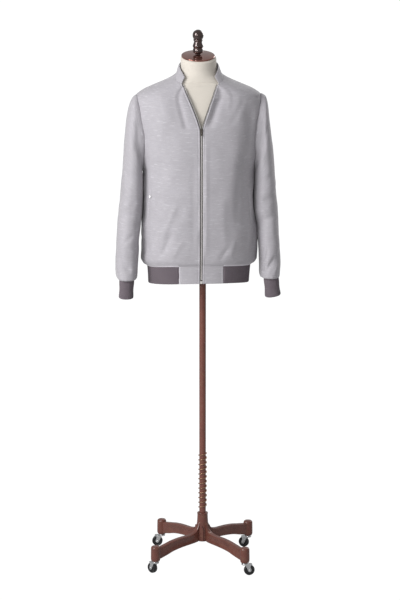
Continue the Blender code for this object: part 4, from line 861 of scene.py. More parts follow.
def rib_knit():
    """Brown-grey knit whose ribs are geometry; the loops are drawn here, and shade is painted into
    the grooves between the ribs.
    """
    look = bpy.context.scene.jacket
    s = Shader("rib_knit", roughness=0.86, sheen_weight=0.22, sheen_roughness=0.5,
               specular_ior_level=0.25)
    u, v = s.cloth_place()
    # painted shade: the knit is darker in the grooves between the ribs and lighter on their tops
    rib = (u * (math.pi / look.rib_pitch)).sine()
    rib = rib * rib
    wale = (u * (2 * math.pi / look.rib_pitch)).sine()
    loops = (v * (2 * math.pi / 0.0019) + wale * 1.3).sine()
    fuzz = s.noise(u * 900.0, v * 900.0, scale=1.0, detail=3.0)
    broad = s.noise(u * 14.0, v * 30.0, scale=1.0, detail=2.0)
    tone = (rib * 0.30 + 0.80) * fuzz.step(0.2, 0.8, 0.90, 1.10) * broad.step(0.3, 0.7, 0.95, 1.05)
    light = tuple(min(1.0, c * 1.35) for c in look.knit)
    colour = s.mix(loops.step(-0.2, 1.0) * 0.35, tuple(look.knit), light)
    s.feed("Base Color", s.shade(colour, tone))
    s.bump(loops * 0.6 + fuzz * 0.6, 0.00022, 0.9)
    return s.material


def zip_tape():
    look = bpy.context.scene.jacket
    s = Shader("zip_tape", roughness=0.8, sheen_weight=0.15, specular_ior_level=0.3)
    u, v = s.cloth_place()
    twill = ((u + v) * (2 * math.pi / 0.0009)).sine()
    fuzz = s.noise(u * 1500.0, v * 1500.0, scale=1.0, detail=2.0)
    s.feed("Base Color", s.shade(s.mix(twill.step(-1.0, 1.0) * 0.5, tuple(look.tape),
                                       tuple(c * 1.8 for c in look.tape)),
                                 fuzz.step(0.2, 0.8, 0.8, 1.2)))
    s.bump(twill * 0.6 + fuzz, 0.0001, 0.7)
    return s.material


def form_linen():
    """The form's cream cover: a close plain weave with faint uneven yarns."""
    s = Shader("form_linen", roughness=0.84, sheen_weight=0.15, specular_ior_level=0.3)
    x, y, z = s.place()
    across = s.noise(x * 60.0, z * 1500.0, y * 60.0, scale=1.0, detail=2.0)
    upward = s.noise(x * 900.0, z * 60.0, y * 900.0, scale=1.0, detail=2.0)
    broad = s.noise(x * 12.0, y * 12.0, z * 9.0, scale=1.0, detail=3.0)
    ground = tuple(bpy.context.scene.stand.linen)
    colour = s.mix(broad.step(0.35, 0.7) * 0.35, ground, tuple(c * 0.93 for c in ground))
    s.feed("Base Color", s.shade(colour, across.step(0.2, 0.8, 0.965, 1.03)
                                 * upward.step(0.2, 0.8, 0.975, 1.02)))
    s.bump(across + upward, 0.00018, 0.6)
    return s.material


def metal(name, colour, rough, fleck, metallic=1.0, coat=0.0, coat_rough=0.05):
    """Worn metal: slow changes of tone and roughness and fine hairlines."""
    s = Shader(name, metallic=metallic, coat_weight=coat, coat_roughness=coat_rough)
    x, y, z = s.place()
    broad = s.noise(x, y, z, scale=55.0, detail=3.0)
    fine = s.noise(x * 500.0, y * 500.0, z * 2600.0, scale=1.0, detail=2.0)
    s.feed("Base Color", s.shade(s.mix(broad.step(0.4, 0.7) * 0.6, colour,
                                       tuple(c * 0.78 for c in colour)),
                                 fine.step(0.2, 0.8, 1 - fleck, 1 + fleck)))
    s.feed("Roughness", broad.step(0.3, 0.75, rough * 0.85, rough * 1.25))
    s.bump(fine, 0.00003, 0.3)
    return s.material


def brown_paint(name, rough, grain, gain=1.12):
    """Brown lacquer over iron: orange peel, cast grain, and a rubbed olive-brown tone."""
    look = bpy.context.scene.stand
    s = Shader(name, coat_weight=0.4, coat_roughness=0.14, specular_ior_level=0.25)
    x, y, z = s.place()
    peel = s.noise(x, y, z, scale=420.0, detail=3.0)
    broad = s.noise(x, y, z, scale=26.0, detail=3.0)
    worn = s.noise(x, y, z, scale=70.0, detail=4.0, rough=0.6).step(0.50, 0.72)
    paint = tuple(gain * c for c in look.paint)
    colour = s.mix(worn * 0.55, paint, tuple(look.worn))
    colour = s.mix(broad.step(0.45, 0.75) * 0.5, colour, tuple(c * 0.62 for c in paint))
    s.feed("Base Color", s.shade(colour, peel.step(0.25, 0.75, 0.92, 1.08)))
    s.feed("Roughness", worn.step(0.0, 1.0, rough, rough + 0.14))
    s.bump(peel * grain + broad * 0.5 * grain, 0.00035, 0.5)
    return s.material


def black_rubber():
    s = Shader("black_rubber", roughness=0.42, specular_ior_level=0.5)
    x, y, z = s.place()
    dust = s.noise(x, y, z, scale=180.0, detail=4.0).step(0.55, 0.85)
    s.feed("Base Color", s.mix(dust * 0.5, (0.006, 0.006, 0.007), (0.022, 0.021, 0.020)))
    s.feed("Roughness", dust.step(0.0, 1.0, 0.34, 0.6))
    s.bump(dust, 0.00008, 0.4)
    return s.material


def thread():
    look = bpy.context.scene.jacket
    s = Shader("thread", roughness=0.55, sheen_weight=0.2)
    x, y, z = s.place()
    twist = s.noise(x * 2500.0, y * 2500.0, z * 2500.0, scale=1.0, detail=1.0)
    light = tuple(0.5 * (a + b) for a, b in zip(look.cloth, look.slub))
    s.feed("Base Color", s.shade(light, twist.step(0.2, 0.8, 0.85, 1.1)))
    return s.material


def finish(name):
    """The named material, made when it is first asked for."""
    found = bpy.data.materials.get(name)
    if found is not None and found.get("built"):
        return found
    if found is not None:
        found.name = name + "_cad"
    jacket, stand = bpy.context.scene.jacket, bpy.context.scene.stand
    makers = {
        "slub_cloth": slub_cloth, "rib_knit": rib_knit, "zip_tape": zip_tape,
        "form_linen": form_linen, "black_rubber": black_rubber, "thread": thread,
        "zip_metal": lambda: metal("zip_metal", tuple(jacket.teeth), 0.36, 0.08, 0.15),
        "slider_metal": lambda: metal("slider_metal", (0.12, 0.105, 0.09), 0.30, 0.10, 0.7),
        # painted glint: the snap is near white and barely metallic, so its colour stands in for
        # the bright glint of the metal
        "snap_metal": lambda: metal("snap_metal", (0.97, 0.97, 0.97), 0.20, 0.02, 0.15),
        # painted highlight: the coil is a lighter, gold-brown copy of the pole's brown paint,
        # standing in for the light on its turns
        "coil_metal": lambda: metal("coil_metal", (0.29, 0.160, 0.100), 0.24, 0.12, 0.55),
        "copper_disc": lambda: metal("copper_disc", tuple(stand.disc), 0.10, 0.03, 0.75, 0.6),
        "dark_bronze": lambda: metal("dark_bronze", tuple(stand.bronze), 0.10, 0.05, 0.6, 1.0,
                                     0.04),
        "bright_steel": lambda: metal("bright_steel", (0.62, 0.63, 0.64), 0.24, 0.08),
        "brown_paint": lambda: brown_paint("brown_paint", 0.26, 0.2, 1.35),
        "cast_base": lambda: brown_paint("cast_base", 0.40, 1.0),
    }
    made = makers[name]()
    made.name = name
    made["built"] = True
    return made


# ---------------------------------------------------------------- repeats along a path
def path_tree(name, kind):
    """Geometry Nodes: one small shape at even steps along a path, facing its 'out' direction."""
    tree = bpy.data.node_groups.new(name, "GeometryNodeTree")
    for label, sort in (("Path", "Geometry"), ("Pitch", "Float"), ("Size", "Vector"),
                        ("Finish", "Material")):
        tree.interface.new_socket(label, in_out="INPUT", socket_type="NodeSocket" + sort)
    tree.interface.new_socket("Result", in_out="OUTPUT", socket_type="NodeSocketGeometry")

    def add(sort, **settings):
        made = tree.nodes.new(sort)
        for key, value in settings.items():
            setattr(made, key, value)
        return made

    given, result = add("NodeGroupInput"), add("NodeGroupOutput")
    line = add("GeometryNodeMeshToCurve")
    even = add("GeometryNodeResampleCurve", mode="LENGTH")
    out = add("GeometryNodeInputNamedAttribute", data_type="FLOAT_VECTOR")
    out.inputs["Name"].default_value = "out"
    along = add("GeometryNodeInputTangent")
    turn = add("FunctionNodeAxesToRotation", primary_axis="Z", secondary_axis="Y")
    copies, real = add("GeometryNodeInstanceOnPoints"), add("GeometryNodeRealizeInstances")
    coloured = add("GeometryNodeSetMaterial")
    if kind == "tooth":
        shape = add("GeometryNodeMeshCube")
        tree.links.new(given.outputs["Size"], shape.inputs["Size"])
    else:
        shape = add("GeometryNodeMeshUVSphere")
        shape.inputs["Segments"].default_value = 6
        shape.inputs["Rings"].default_value = 5
        shape.inputs["Radius"].default_value = 1.0
        tree.links.new(given.outputs["Size"], copies.inputs["Scale"])
    links = (
        (given.outputs["Path"], line.inputs["Mesh"]),
        (line.outputs["Curve"], even.inputs["Curve"]),
        (given.outputs["Pitch"], even.inputs["Length"]),
        (even.outputs["Curve"], copies.inputs["Points"]),
        (along.outputs["Tangent"], turn.inputs["Primary Axis"]),
        (out.outputs["Attribute"], turn.inputs["Secondary Axis"]),
        (turn.outputs["Rotation"], copies.inputs["Rotation"]),
        (shape.outputs["Mesh"], copies.inputs["Instance"]),
        (copies.outputs["Instances"], real.inputs["Geometry"]),
        (real.outputs["Geometry"], coloured.inputs["Geometry"]),
        (given.outputs["Finish"], coloured.inputs["Material"]),
        (coloured.outputs["Geometry"], result.inputs["Result"]),
    )
    for start, end in links:
        tree.links.new(start, end)
    return tree


def repeated(name, lines, kind, pitch, size, material):
    """A plain mesh of shapes along lines; each line is (points, out directions)."""
    points, edges, outs = [], [], []
    for line, ways in lines:
        first = len(points)
        points += [tuple(p) for p in line]
        outs += [tuple(w) for w in ways]
        edges += [(first + k, first + k + 1) for k in range(len(line) - 1)]
    mesh = bpy.data.meshes.new(name + "_path")
    mesh.from_pydata(points, edges, [])
    mesh.attributes.new("out", "FLOAT_VECTOR", "POINT").data.foreach_set(
        "vector", np.array(outs, float).ravel())
    guide = bpy.data.objects.new(name + "_path", mesh)
    bpy.context.scene.collection.objects.link(guide)
    tree = bpy.data.node_groups.get(kind + "_along_path") or path_tree(kind + "_along_path", kind)
    modifier = guide.modifiers.new("repeat", "NODES")
    modifier.node_group = tree
    given = {"Pitch": pitch, "Size": size, "Finish": material}
    for item in tree.interface.items_tree:
        if item.in_out == "INPUT" and item.name in given:
            modifier[item.identifier] = given[item.name]
    guide.update_tag()
    graph = bpy.context.evaluated_depsgraph_get()
    result = bpy.data.meshes.new_from_object(guide.evaluated_get(graph))
    result.name = name
    guide.modifiers.clear()
    bpy.data.objects.remove(guide)
    bpy.data.meshes.remove(mesh)
    if kind == "stitch":
        result.shade_smooth()
    return result


# ---------------------------------------------------------------- garment pieces
def neck_roll(grid):
    """The seam depth of each point, next to nothing at the neck, where the collar flows on."""
    near_top = np.linalg.norm(grid - grid[-1:], axis=2)
    return bpy.context.scene.jacket.seam_depth * (0.1 + 0.9 * smooth_step(near_top, 0.004, 0.012))


def hem_edge(above):
    """The painted highlight along the cloth's lower edge and how raised the edge is, from the
    height above it.
    """
    return 3.4 * bell(above, 0.0048), -0.0007 * bell(above - 0.0022, 0.0018)


def make_fronts():
    look = bpy.context.scene.jacket
    stitches = []
    for side, word in SIDES:
        grid, tab_rows, tab_column = front_grid(side, look.step, look.stitch_inset)
        keep = np.ones((len(grid) - 1, grid.shape[1] - 1), bool)
        keep[:tab_rows, tab_column:] = False
        across = row_lengths(grid)
        dent = 0.00080 * bell(across - look.stitch_inset, 0.0014)
        puff = 0.00060 * bell(across - look.stitch_inset * 0.5, 0.0020)
        tab_edge = np.abs(across - across[:, tab_column:tab_column + 1])
        beside = np.arange(len(grid))[:, None] <= tab_rows
        dent = dent - puff + 0.00035 * beside * bell(tab_edge - look.stitch_inset, 0.0011)
        above = grid[..., 2] - grid[tab_rows:tab_rows + 1, :, 2]
        over_rib = np.arange(grid.shape[1])[None, :] >= tab_column
        hem_highlight, hem_dent = hem_edge(above)
        # painted highlight along the zip edge, the tab's edges and, over the rib, the hem edge
        edge_highlight = np.maximum(0.45 * bell(across, 0.0045), 1.2 * beside * bell(tab_edge, 0.0045))
        edge_highlight = np.maximum(edge_highlight, over_rib * hem_highlight)
        dent = dent + over_rib * hem_dent
        uv = np.stack([side * (across + grid[:, :1, 0] * side), grid[..., 2]], -1)
        mesh, normals, face = shell("front_" + word, grid, look.wall, keep=keep, uv=uv,
                                    roll=neck_roll(grid), dent=dent, edge_highlight=edge_highlight)
        piece = place_piece("front_" + word, mesh, "slub_cloth")
        line = at_distance(face, look.stitch_inset) + normals[:, 3] * STITCH_LIFT
        stitches.append((line[2:-2], normals[2:-2, 3]))
        inset = np.array([np.interp(across[k, tab_column] - look.stitch_inset, across[k],
                                    np.arange(grid.shape[1])) for k in range(tab_rows + 1)])
        column = np.round(inset).astype(int)
        rows = np.arange(tab_rows + 1)
        stitches.append((face[rows, column] + normals[rows, column] * STITCH_LIFT,
                         normals[rows, column]))
    mesh = repeated("topstitching", stitches, "stitch", look.stitch_pitch, STITCH,
                    finish("thread"))
    place_piece("topstitching", mesh, "slub_cloth", look="thread", nodes=())


def make_back():
    look = bpy.context.scene.jacket
    grid = back_grid(look.step * 1.1)
    # painted highlight along the hem edge
    edge_highlight, dent = hem_edge(grid[..., 2] - grid[:1, :, 2])
    mesh, _, _ = shell("back", grid, look.wall, roll=neck_roll(grid), dent=dent,
                       edge_highlight=edge_highlight)
    piece = place_piece("back", mesh, "slub_cloth")


def neck_line(step, inset):
    """Even points of the neck seam from the right corner round the back to the left one."""
    right = front_grid(-1, step, inset)[0][-1]
    left = front_grid(1, step, inset)[0][-1]
    back = back_grid(step)[-1]
    middle_right, middle_left = (right[-1] + back[-1]) / 2, (left[-1] + back[0]) / 2
    line = np.concatenate([right[:-1], [middle_right], back[-2:0:-1], [middle_left],
                           left[-2::-1]])
    lengths = row_lengths(line[None])[0]
    return line, lengths, lengths[len(right) - 1]


def make_collar():
    look = bpy.context.scene.jacket
    line, lengths, to_shoulder = neck_line(look.step, look.stitch_inset)
    total = lengths[-1]
    along = graded(total, 0.0022) * total
    seam = np.stack([np.interp(along, lengths, line[:, k]) for k in range(3)], -1)
    near = np.minimum(along, total - along)
    side = np.where(along < total / 2, -1.0, 1.0)
    corner = math.asin(COLLAR_CORNER_X / COLLAR_TOP_HALF)
    front = np.clip(near / to_shoulder, 0, 1)
    behind = np.clip((near - to_shoulder) / (total / 2 - to_shoulder), 0, 1)
    angle = np.where(near <= to_shoulder, corner + (np.pi / 2 - corner) * front,
                     np.pi / 2 * (1 + behind))
    depth = np.where(near <= to_shoulder, COLLAR_TOP_FRONT, COLLAR_TOP_BACK)
    z = np.where(near <= to_shoulder,
                 COLLAR_CORNER_Z + (COLLAR_SIDE_Z - COLLAR_CORNER_Z) * front ** 0.8,
                 COLLAR_SIDE_Z + (COLLAR_BACK_Z - COLLAR_SIDE_Z) * np.sin(np.pi / 2 * behind))
    top = np.stack([side * COLLAR_TOP_HALF * np.sin(angle), -depth * np.cos(angle), z], -1)
    share = graded(COLLAR_RISE, 0.0024)[:, None, None]
    rise = top - seam
    grid = seam + rise * share + unit(rise) * 0.0001 * (1 - share)
    out = unit(grid * np.array([1, 1, 0]))
    wave = 0.0009 * np.sin(along * 41 + 0.6) + 0.0006 * np.sin(along * 87 + 2.0)
    grid = grid + out * (np.sin(np.pi * share) * 0.0011 + share ** 2 * wave[None, :, None])
    mesh, _, _ = shell("collar", grid, COLLAR_WALL,
                       roll=look.seam_depth * 0.8 * smooth_step(share[..., 0], 0.1, 0.3))
    piece = place_piece("collar", mesh, "slub_cloth")


def oval(row, side, angle, square):
    """Points of a sleeve's or cuff's ring; the row's numbers may be arrays."""
    inner_z, outer_z, inner_r, outer_r, inner_l, outer_l, half_depth, centre_y = row
    inner_x, outer_x = (inner_r, outer_r) if side < 0 else (inner_l, outer_l)
    along = signed_power(np.cos(angle), 2 / square)
    deep = signed_power(np.sin(angle), 2 / square)
    x = side * ((inner_x + outer_x) / 2 + (outer_x - inner_x) / 2 * along)
    z = (inner_z + outer_z) / 2 + (outer_z - inner_z) / 2 * along
    return np.stack(np.broadcast_arrays(x, centre_y - half_depth * deep, z), -1)


def cuff_row(side, share, shrink):
    row = [top + (bottom - top) * share for top, bottom in zip(CUFF_TOP, CUFF_BOTTOM)]
    tilt = LEFT_CUFF_TILT * share if side > 0 else 0.0
    row[0], row[1] = row[0] - tilt, row[1] + tilt
    for k, way in ((2, 1), (3, -1), (4, 1), (5, -1), (6, -1)):
        row[k] = row[k] + way * shrink
    return row


def sleeve_grid(side, count, step):
    angle = 2 * np.pi * np.arange(count) / count
    z = ARM_MIDDLE + ARM_HALF * np.cos(angle)
    in_front = angle <= np.pi
    reach = np.where(in_front, -armhole_angle(z, FRONT_DEPTH), armhole_angle(z, BACK_DEPTH))
    first = torso(side * (np.pi / 2 + reach), z) - np.array([side * 0.0010, 0, 0])
    rings = [first] + [oval(row, side, angle, SLEEVE_SQUARE) for row in SLEEVE]
    mouth = oval(cuff_row(side, 0.0, 0.0024), side, angle, CUFF_SQUARE)
    rings.append(mouth + np.array([0, 0, SEAM]))
    rings = np.array(rings)
    spans = np.linalg.norm(np.diff(rings, axis=0), axis=2)
    down = np.concatenate([[0.0], np.cumsum(np.maximum(spans.mean(axis=1), 0.004))])
    fine = graded(down[-1], step) * down[-1]
    grid = np.empty((len(fine), count, 3))
    for k in range(count):
        for axis in range(3):
            grid[:, k, axis] = Profile(down, rings[:, k, axis])(fine)
    centre = grid.mean(axis=1, keepdims=True)
    out = grid - (grid + np.roll(grid, count // 2, 1)) / 2
    degrees = np.degrees(angle)[None, :]
    folds = fold_push(SLEEVE_FOLDS, degrees, grid[..., 2], 0.055)
    folds += CREASE_GAIN * fold_push(SLEEVE_CREASES[side], degrees, grid[..., 2], 0.055,
                                     tapered=True)
    folds += swell(angle[None, :] * 0.055 * side + 0.7, grid[..., 2])
    loose = smooth_step(fine, 0.004, 0.03) * (1 - smooth_step(fine, fine[-1] - 0.02, fine[-1]))
    gather = np.sin(angle * 13 + 0.8) + 0.6 * np.sin(angle * 21 + 2.0)
    near_cuff = bell(fine - fine[-1] + 0.016, 0.012)
    puff = 0.0012 * bell(fine - 0.009, 0.006)
    push = (folds * loose[:, None] + 0.0005 * near_cuff[:, None] * gather[None, :]
            + puff[:, None])
    grid = grid + unit(out) * push[..., None]
    return grid, centre, fine


def make_sleeves():
    look = bpy.context.scene.jacket
    for side, word in SIDES:
        grid, centre, fine = sleeve_grid(side, 120, look.step)
        around = row_lengths(np.concatenate([grid, grid[:, :1]], 1))
        drop = np.broadcast_to(-fine[:, None], around.shape)
        mesh, _, _ = shell("sleeve_" + word, grid, look.wall, centre=centre, wrap=True,
                           uv=np.stack([around, drop], -1), roll=look.seam_depth)
        piece = place_piece("sleeve_" + word, mesh, "slub_cloth")


def rib_wave(count):
    """Round ribs with sharp valleys between them, four points each."""
    return np.abs(np.sin(np.pi * np.arange(count) / 4))


def make_cuffs():
    look = bpy.context.scene.jacket
    for side, word in SIDES:
        fine = 2 * np.pi * np.arange(2001) / 2000
        ring = oval(cuff_row(side, 0.5, 0.0), side, fine, CUFF_SQUARE)
        lengths = row_lengths(ring[None])[0]
        ribs = 2 * round(lengths[-1] / look.rib_pitch / 2)
        count = 4 * ribs
        angle = np.interp(np.arange(count) * lengths[-1] / count, lengths, fine)
        share = graded(CUFF_LENGTH, 0.0035)
        relief = (rib_wave(count) * look.rib_relief)[None, :]
        pull = 0.0007 * np.sin(np.pi * share * 2.4 + 0.5)[:, None]
        rows = [oval(cuff_row(side, s, 0.0), side, angle, CUFF_SQUARE) for s in share]
        grid = np.array(rows)
        centre = grid.mean(axis=1, keepdims=True)
        out = unit((grid - centre) * np.array([1, 1, 0]))
        grid = grid + out * (relief + pull * smooth_step(share, 0.0, 0.2)[:, None])[..., None]
        around = np.broadcast_to(np.arange(count + 1) * look.rib_pitch / 4,
                                 (len(share), count + 1))
        drop = np.broadcast_to(-share[:, None] * CUFF_LENGTH, around.shape)
        mesh, _, _ = shell("cuff_" + word, grid, look.rib_wall, centre=centre, wrap=True,
                           uv=np.stack([around, drop], -1), roll=look.seam_depth * 0.7)
        piece = place_piece("cuff_" + word, mesh, "rib_knit")


def make_hem_rib():
    look = bpy.context.scene.jacket
    start = angle_of_x(TAB_X - RIB_TUCK, HEM_Z)
    top_start = angle_of_x(TAB_X - RIB_TUCK, RIB_TOP_Z)
    fine = np.linspace(start, 2 * np.pi - start, 4001)
    lengths = row_lengths(torso(fine, np.full_like(fine, HEM_Z))[None])[0]
    ribs = round(lengths[-1] / look.rib_pitch)
    count = 4 * ribs + 1
    low = np.interp(np.linspace(0, lengths[-1], count), lengths, fine)
    part = (low - start) / (2 * np.pi - 2 * start)
    high = top_start + (2 * np.pi - 2 * top_start) * part
    bottom = torso(low, np.full_like(low, HEM_Z))
    top = torso(high, np.full_like(high, RIB_TOP_Z)) - np.array([0, 0, 1.2 * SEAM])
    share = graded(RIB_TOP_Z - HEM_Z, 0.0042)
    grid = bottom[None] + (top - bottom)[None] * share[:, None, None]
    out = unit(grid_normals(grid, grid * np.array([0, 0, 1])) * np.array([1, 1, 0]))
    along = np.linspace(0, lengths[-1], count)
    sag = 0.0008 * np.sin(along * 24 + 1.0) + 0.0006 * np.sin(along * 57)
    ease = np.sin(np.pi * share)[:, None]
    relief = (rib_wave(count) * look.rib_relief)[None, :]
    edge = np.minimum(along, lengths[-1] - along)
    behind_tab = 0.0024 * (1 - smooth_step(edge, RIB_TUCK + 0.0004, RIB_TUCK + 0.006))
    grid = grid + out * (relief - 0.0008 - behind_tab[None, :] + ease * sag[None, :])[..., None]
    grid[..., 2] += ((1 - share)[:, None] * 0.0005 * np.sin(along * 31))
    around = np.broadcast_to(np.arange(count) * look.rib_pitch / 4, grid.shape[:2])
    uv = np.stack([around, grid[..., 2]], -1)
    mesh, _, _ = shell("hem_rib", grid, look.rib_wall, uv=uv, roll=look.seam_depth * 0.7)
    piece = place_piece("hem_rib", mesh, "rib_knit")


# ---------------------------------------------------------------- zip and pockets
def zip_edge(side, look):
    """The front's inner edge at each row, the way towards the centre and the way out."""
    grid, _, _ = front_grid(side, look.step, look.stitch_inset)
    normals = grid_normals(grid, grid * np.array([0, 0, 1]))
    behind = grid - normals * look.wall
    inward = unit(behind[:, 0] - behind[:, 6])
    out = normals[:, 0] - inward * np.sum(normals[:, 0] * inward, axis=1, keepdims=True)
    keep = grid[:, 0, 2] < NECK_CORNER_Z - 0.0015
    return behind[keep, 0], inward[keep], unit(out)[keep]


def make_zip():
    look = bpy.context.scene.jacket
    for side, word in SIDES:
        edge, inward, out = zip_edge(side, look)
        open_share = smooth_step(edge[:, 2], SLIDER_Z, SLIDER_Z + 0.03)[:, None]
        shown = TAPE_SHOWN + TAPE_FLARE[side] * open_share
        tooth_at = TAPE_SHOWN + TOOTH_SHIFT[side] * open_share
        columns = np.linspace(0, 1, 8)[None, :, None]
        reach = -TAPE_HIDDEN + (TAPE_HIDDEN + shown)[..., None] * columns
        grid = edge[:, None] + inward[:, None] * reach - out[:, None] * TAPE_GAP
        mesh, _, _ = shell("zip_tape_" + word, grid, TAPE_WALL, centre=grid - out[:, None],
                           roll=0.0)
        tape = place_piece("zip_tape_" + word, mesh, "zip_tape")
        toothed = edge[:, 2] > edge[0, 2] + ZIP_FOOT
        line = (edge + inward * tooth_at - out * (TAPE_GAP - 0.0002))[toothed]
        if side > 0:
            line = line + unit(line[1] - line[0]) * look.tooth_pitch / 2
        mesh = repeated("zip_teeth_" + word, [(line, out[toothed])], "tooth",
                        look.tooth_pitch, TOOTH, finish("zip_metal"))
        place_piece("zip_teeth_" + word, mesh, "zip_metal")


def slider_frame():
    """The slider's place: x across, y into the cloth, z up along the zip."""
    z = np.array([SLIDER_Z - 0.01, SLIDER_Z, SLIDER_Z + 0.01])
    below, edge, above = torso(np.full(3, 0.03), z, creased=False)
    up = Vector((0, above[1] - below[1], above[2] - below[2])).normalized()
    out = Vector((0, -up.z, up.y))
    wall = bpy.context.scene.jacket.wall
    centre = Vector((0, edge[1], SLIDER_Z)) + out * (0.0015 - wall - TAPE_GAP + SEAM + 0.0009)
    turn = Matrix(((1, 0, 0), (0, -out.y, up.y), (0, -out.z, up.z))).to_4x4()
    return Matrix.Translation(centre) @ turn


def make_slider():
    place = slider_frame()
    upright = place @ QUARTER_X
    outline = [(0.0030, -0.0068), (0.0040, -0.0035), (0.0046, 0.0030), (0.0043, 0.0060),
               (0.0026, 0.0068), (0.0009, 0.0052)]
    outline += [(-x, y) for x, y in outline[::-1]]
    smooth = [tuple(p) for p in smooth_line(outline + outline[:1], 3)[:-1]]
    parts = [plate("plate", smooth, -0.0009, 0.0009, 0.0003, upright)]
    for way in (-1, 1):
        ear = rounded_box(0.0016, 0.0023, 0.0010)
        ear_place = place @ Matrix.Translation((way * 0.0038, -0.0028, 0.0030))
        ear_place = ear_place @ QUARTER_Y
        parts.append(plate("ear", ear, -0.0006, 0.0006, 0.0002, ear_place))
    pin = [(0.0, 0.0043), (0.0007, 0.0043), (0.0009, 0.0041), (0.0009, -0.0041),
           (0.0007, -0.0043), (0.0, -0.0043)]
    pin_place = place @ Matrix.Translation((0, -0.0039, 0.0030))
    parts.append(lathe("pin", pin, 16, pin_place @ QUARTER_Y))
    mesh = joined_mesh("zip_slider", parts)
    place_piece("zip_slider", mesh, "zip_metal", look="slider_metal")

    half = [(0.0, 0.0011), (0.0013, 0.0008), (0.0021, -0.0008), (0.0020, -0.0036),
            (0.0018, -0.0090), (0.0024, -0.0150), (0.0026, -0.0185), (0.0018, -0.0204),
            (0.0, -0.0210)]
    half = [tuple(p) for p in smooth_line(half, 3)]
    full = [(-x, y) for x, y in half] + half[-2:0:-1]
    pull = plate("pull", full, -0.0006, 0.0006, 0.00025,
                 pin_place @ QUARTER_X)
    eye = [(0.0013, 0.0019), (0.0020, 0.0019), (0.0022, 0.0017), (0.0022, -0.0017),
           (0.0020, -0.0019), (0.0013, -0.0019), (0.0013, 0.0019)]
    ring = lathe("eye", eye, 20, pin_place @ QUARTER_Y)
    bead = plate("bead", rounded_box(0.0012, 0.0042, 0.0010), 0.0005, 0.0010, 0.0002,
                 pin_place @ QUARTER_X
                 @ Matrix.Translation((0, -0.0158, 0)))
    place_piece("zip_pull", joined_mesh("zip_pull", [pull, ring, bead]), "zip_metal",
                look="slider_metal", body="zip_pull")

    low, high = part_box("zip_box")
    middle, half_size = (Vector(low) + Vector(high)) / 2, (Vector(high) - Vector(low)) / 2
    box = plate("zip_box", rounded_box(half_size.x, half_size.z, 0.0010), -half_size.y,
                half_size.y, 0.0003, Matrix.Translation(middle)
                @ QUARTER_X)
    place_piece("zip_box", box, "zip_metal")


def make_pockets():
    look = bpy.context.scene.jacket
    z = np.array([row[0] for row in WELT])[::-1]
    middle = Profile(z, [row[1] for row in WELT][::-1])
    levels = z[0] + (z[-1] - z[0]) * graded(z[-1] - z[0], look.step)[:, None]
    spread = (graded(WELT_WIDTH, 0.0018)[None, :] * 2 - 1) * WELT_HALF_TURN
    for side, word in SIDES:
        angle = side * np.radians(middle(levels) + spread)
        grid = torso(angle, levels + 0 * angle)
        normals = grid_normals(grid, grid * np.array([0, 0, 1]))
        grid = grid + normals * WELT_LIFT
        mesh, _, _ = shell("pocket_welt_" + word, grid, WELT_WALL, roll=0.0005)
        piece = place_piece("pocket_welt_" + word, mesh, "slub_cloth")
    angle = -math.radians(SNAP_DEGREES)
    spots = torso(np.array([angle, angle + 0.002, angle]),
                  np.array([SNAP_Z, SNAP_Z, SNAP_Z + 0.002]))
    normal = Vector(np.cross(spots[1] - spots[0], spots[2] - spots[0])).normalized()
    point = Vector(spots[0])
    place = (Matrix.Translation(point + normal * SNAP_LIFT)
             @ normal.to_track_quat("Z", "Y").to_matrix().to_4x4())
    profile = [(0.0, 0.00105), (0.0009, 0.00100), (0.0016, 0.00085), (0.0019, 0.00065),
               (0.0021, 0.00062), (0.0024, 0.00095), (0.0030, 0.00150), (0.0035, 0.00148),
               (0.0039, 0.00100), (0.0040, 0.00050), (0.0038, 0.0), (0.0, 0.0)]
    mesh = lathe("pocket_snap", smooth_line(profile, 3), 40, place)
    place_piece("pocket_snap", mesh, "snap_metal")


# ---------------------------------------------------------------- form and stand
def make_form():
    columns = 96
    reads = [Profile(FORM[:, 0], FORM[:, k]) for k in range(1, 6)]
    round_in = FORM_TOP_Z + 0.0116 * np.sin(np.linspace(0, np.pi / 2, 10))
    heights = np.concatenate([
        np.linspace(FORM_BOTTOM_Z, 1.0790, 6), np.linspace(1.0790, 1.6500, 90)[1:],
        np.linspace(1.6500, FORM_TOP_Z, 64)[1:], round_in[1:]])
    angle = 2 * np.pi * np.arange(columns) / columns
    rings = []
    for z in heights:
        half, front, back, square, lean = (read(z) for read in reads)
        cosine, sine = np.cos(angle), np.sin(angle)
        depth = np.where(cosine > 0, front, back)
        x = half * signed_power(sine, 2 / square)
        y = -depth * cosine
        above = z - FORM_SEAM_Z - 0.010 * (1 - cosine)
        groove = 0.0016 * bell(above, 0.0018)
        roll = 0.0010 * bell(above + 0.006, 0.004)
        pucker = 0.0005 * bell(above, 0.012) * np.sin(angle * 34 + 0.5)
        scale = 1 - (groove - roll + pucker) / 0.065
        edge = 1 - 0.014 * max(0.0, (z - 1.7795) / 0.0021)
        rings.append(np.stack([x * scale * edge, y * scale * edge,
                               z + math.tan(DISC_TILT) * y * lean], -1))
    rings = np.array(rings)
    points, faces = rings.reshape(-1, 3).tolist(), ring_faces(len(rings), columns)
    for ring, turned in ((0, True), (len(rings) - 1, False)):
        add_cap(points, faces, ring, columns, rings[ring].mean(axis=0), turned)
    mesh = add_mesh("form_body", points, faces, 60)
    place_piece("form_body", mesh, "form_linen")


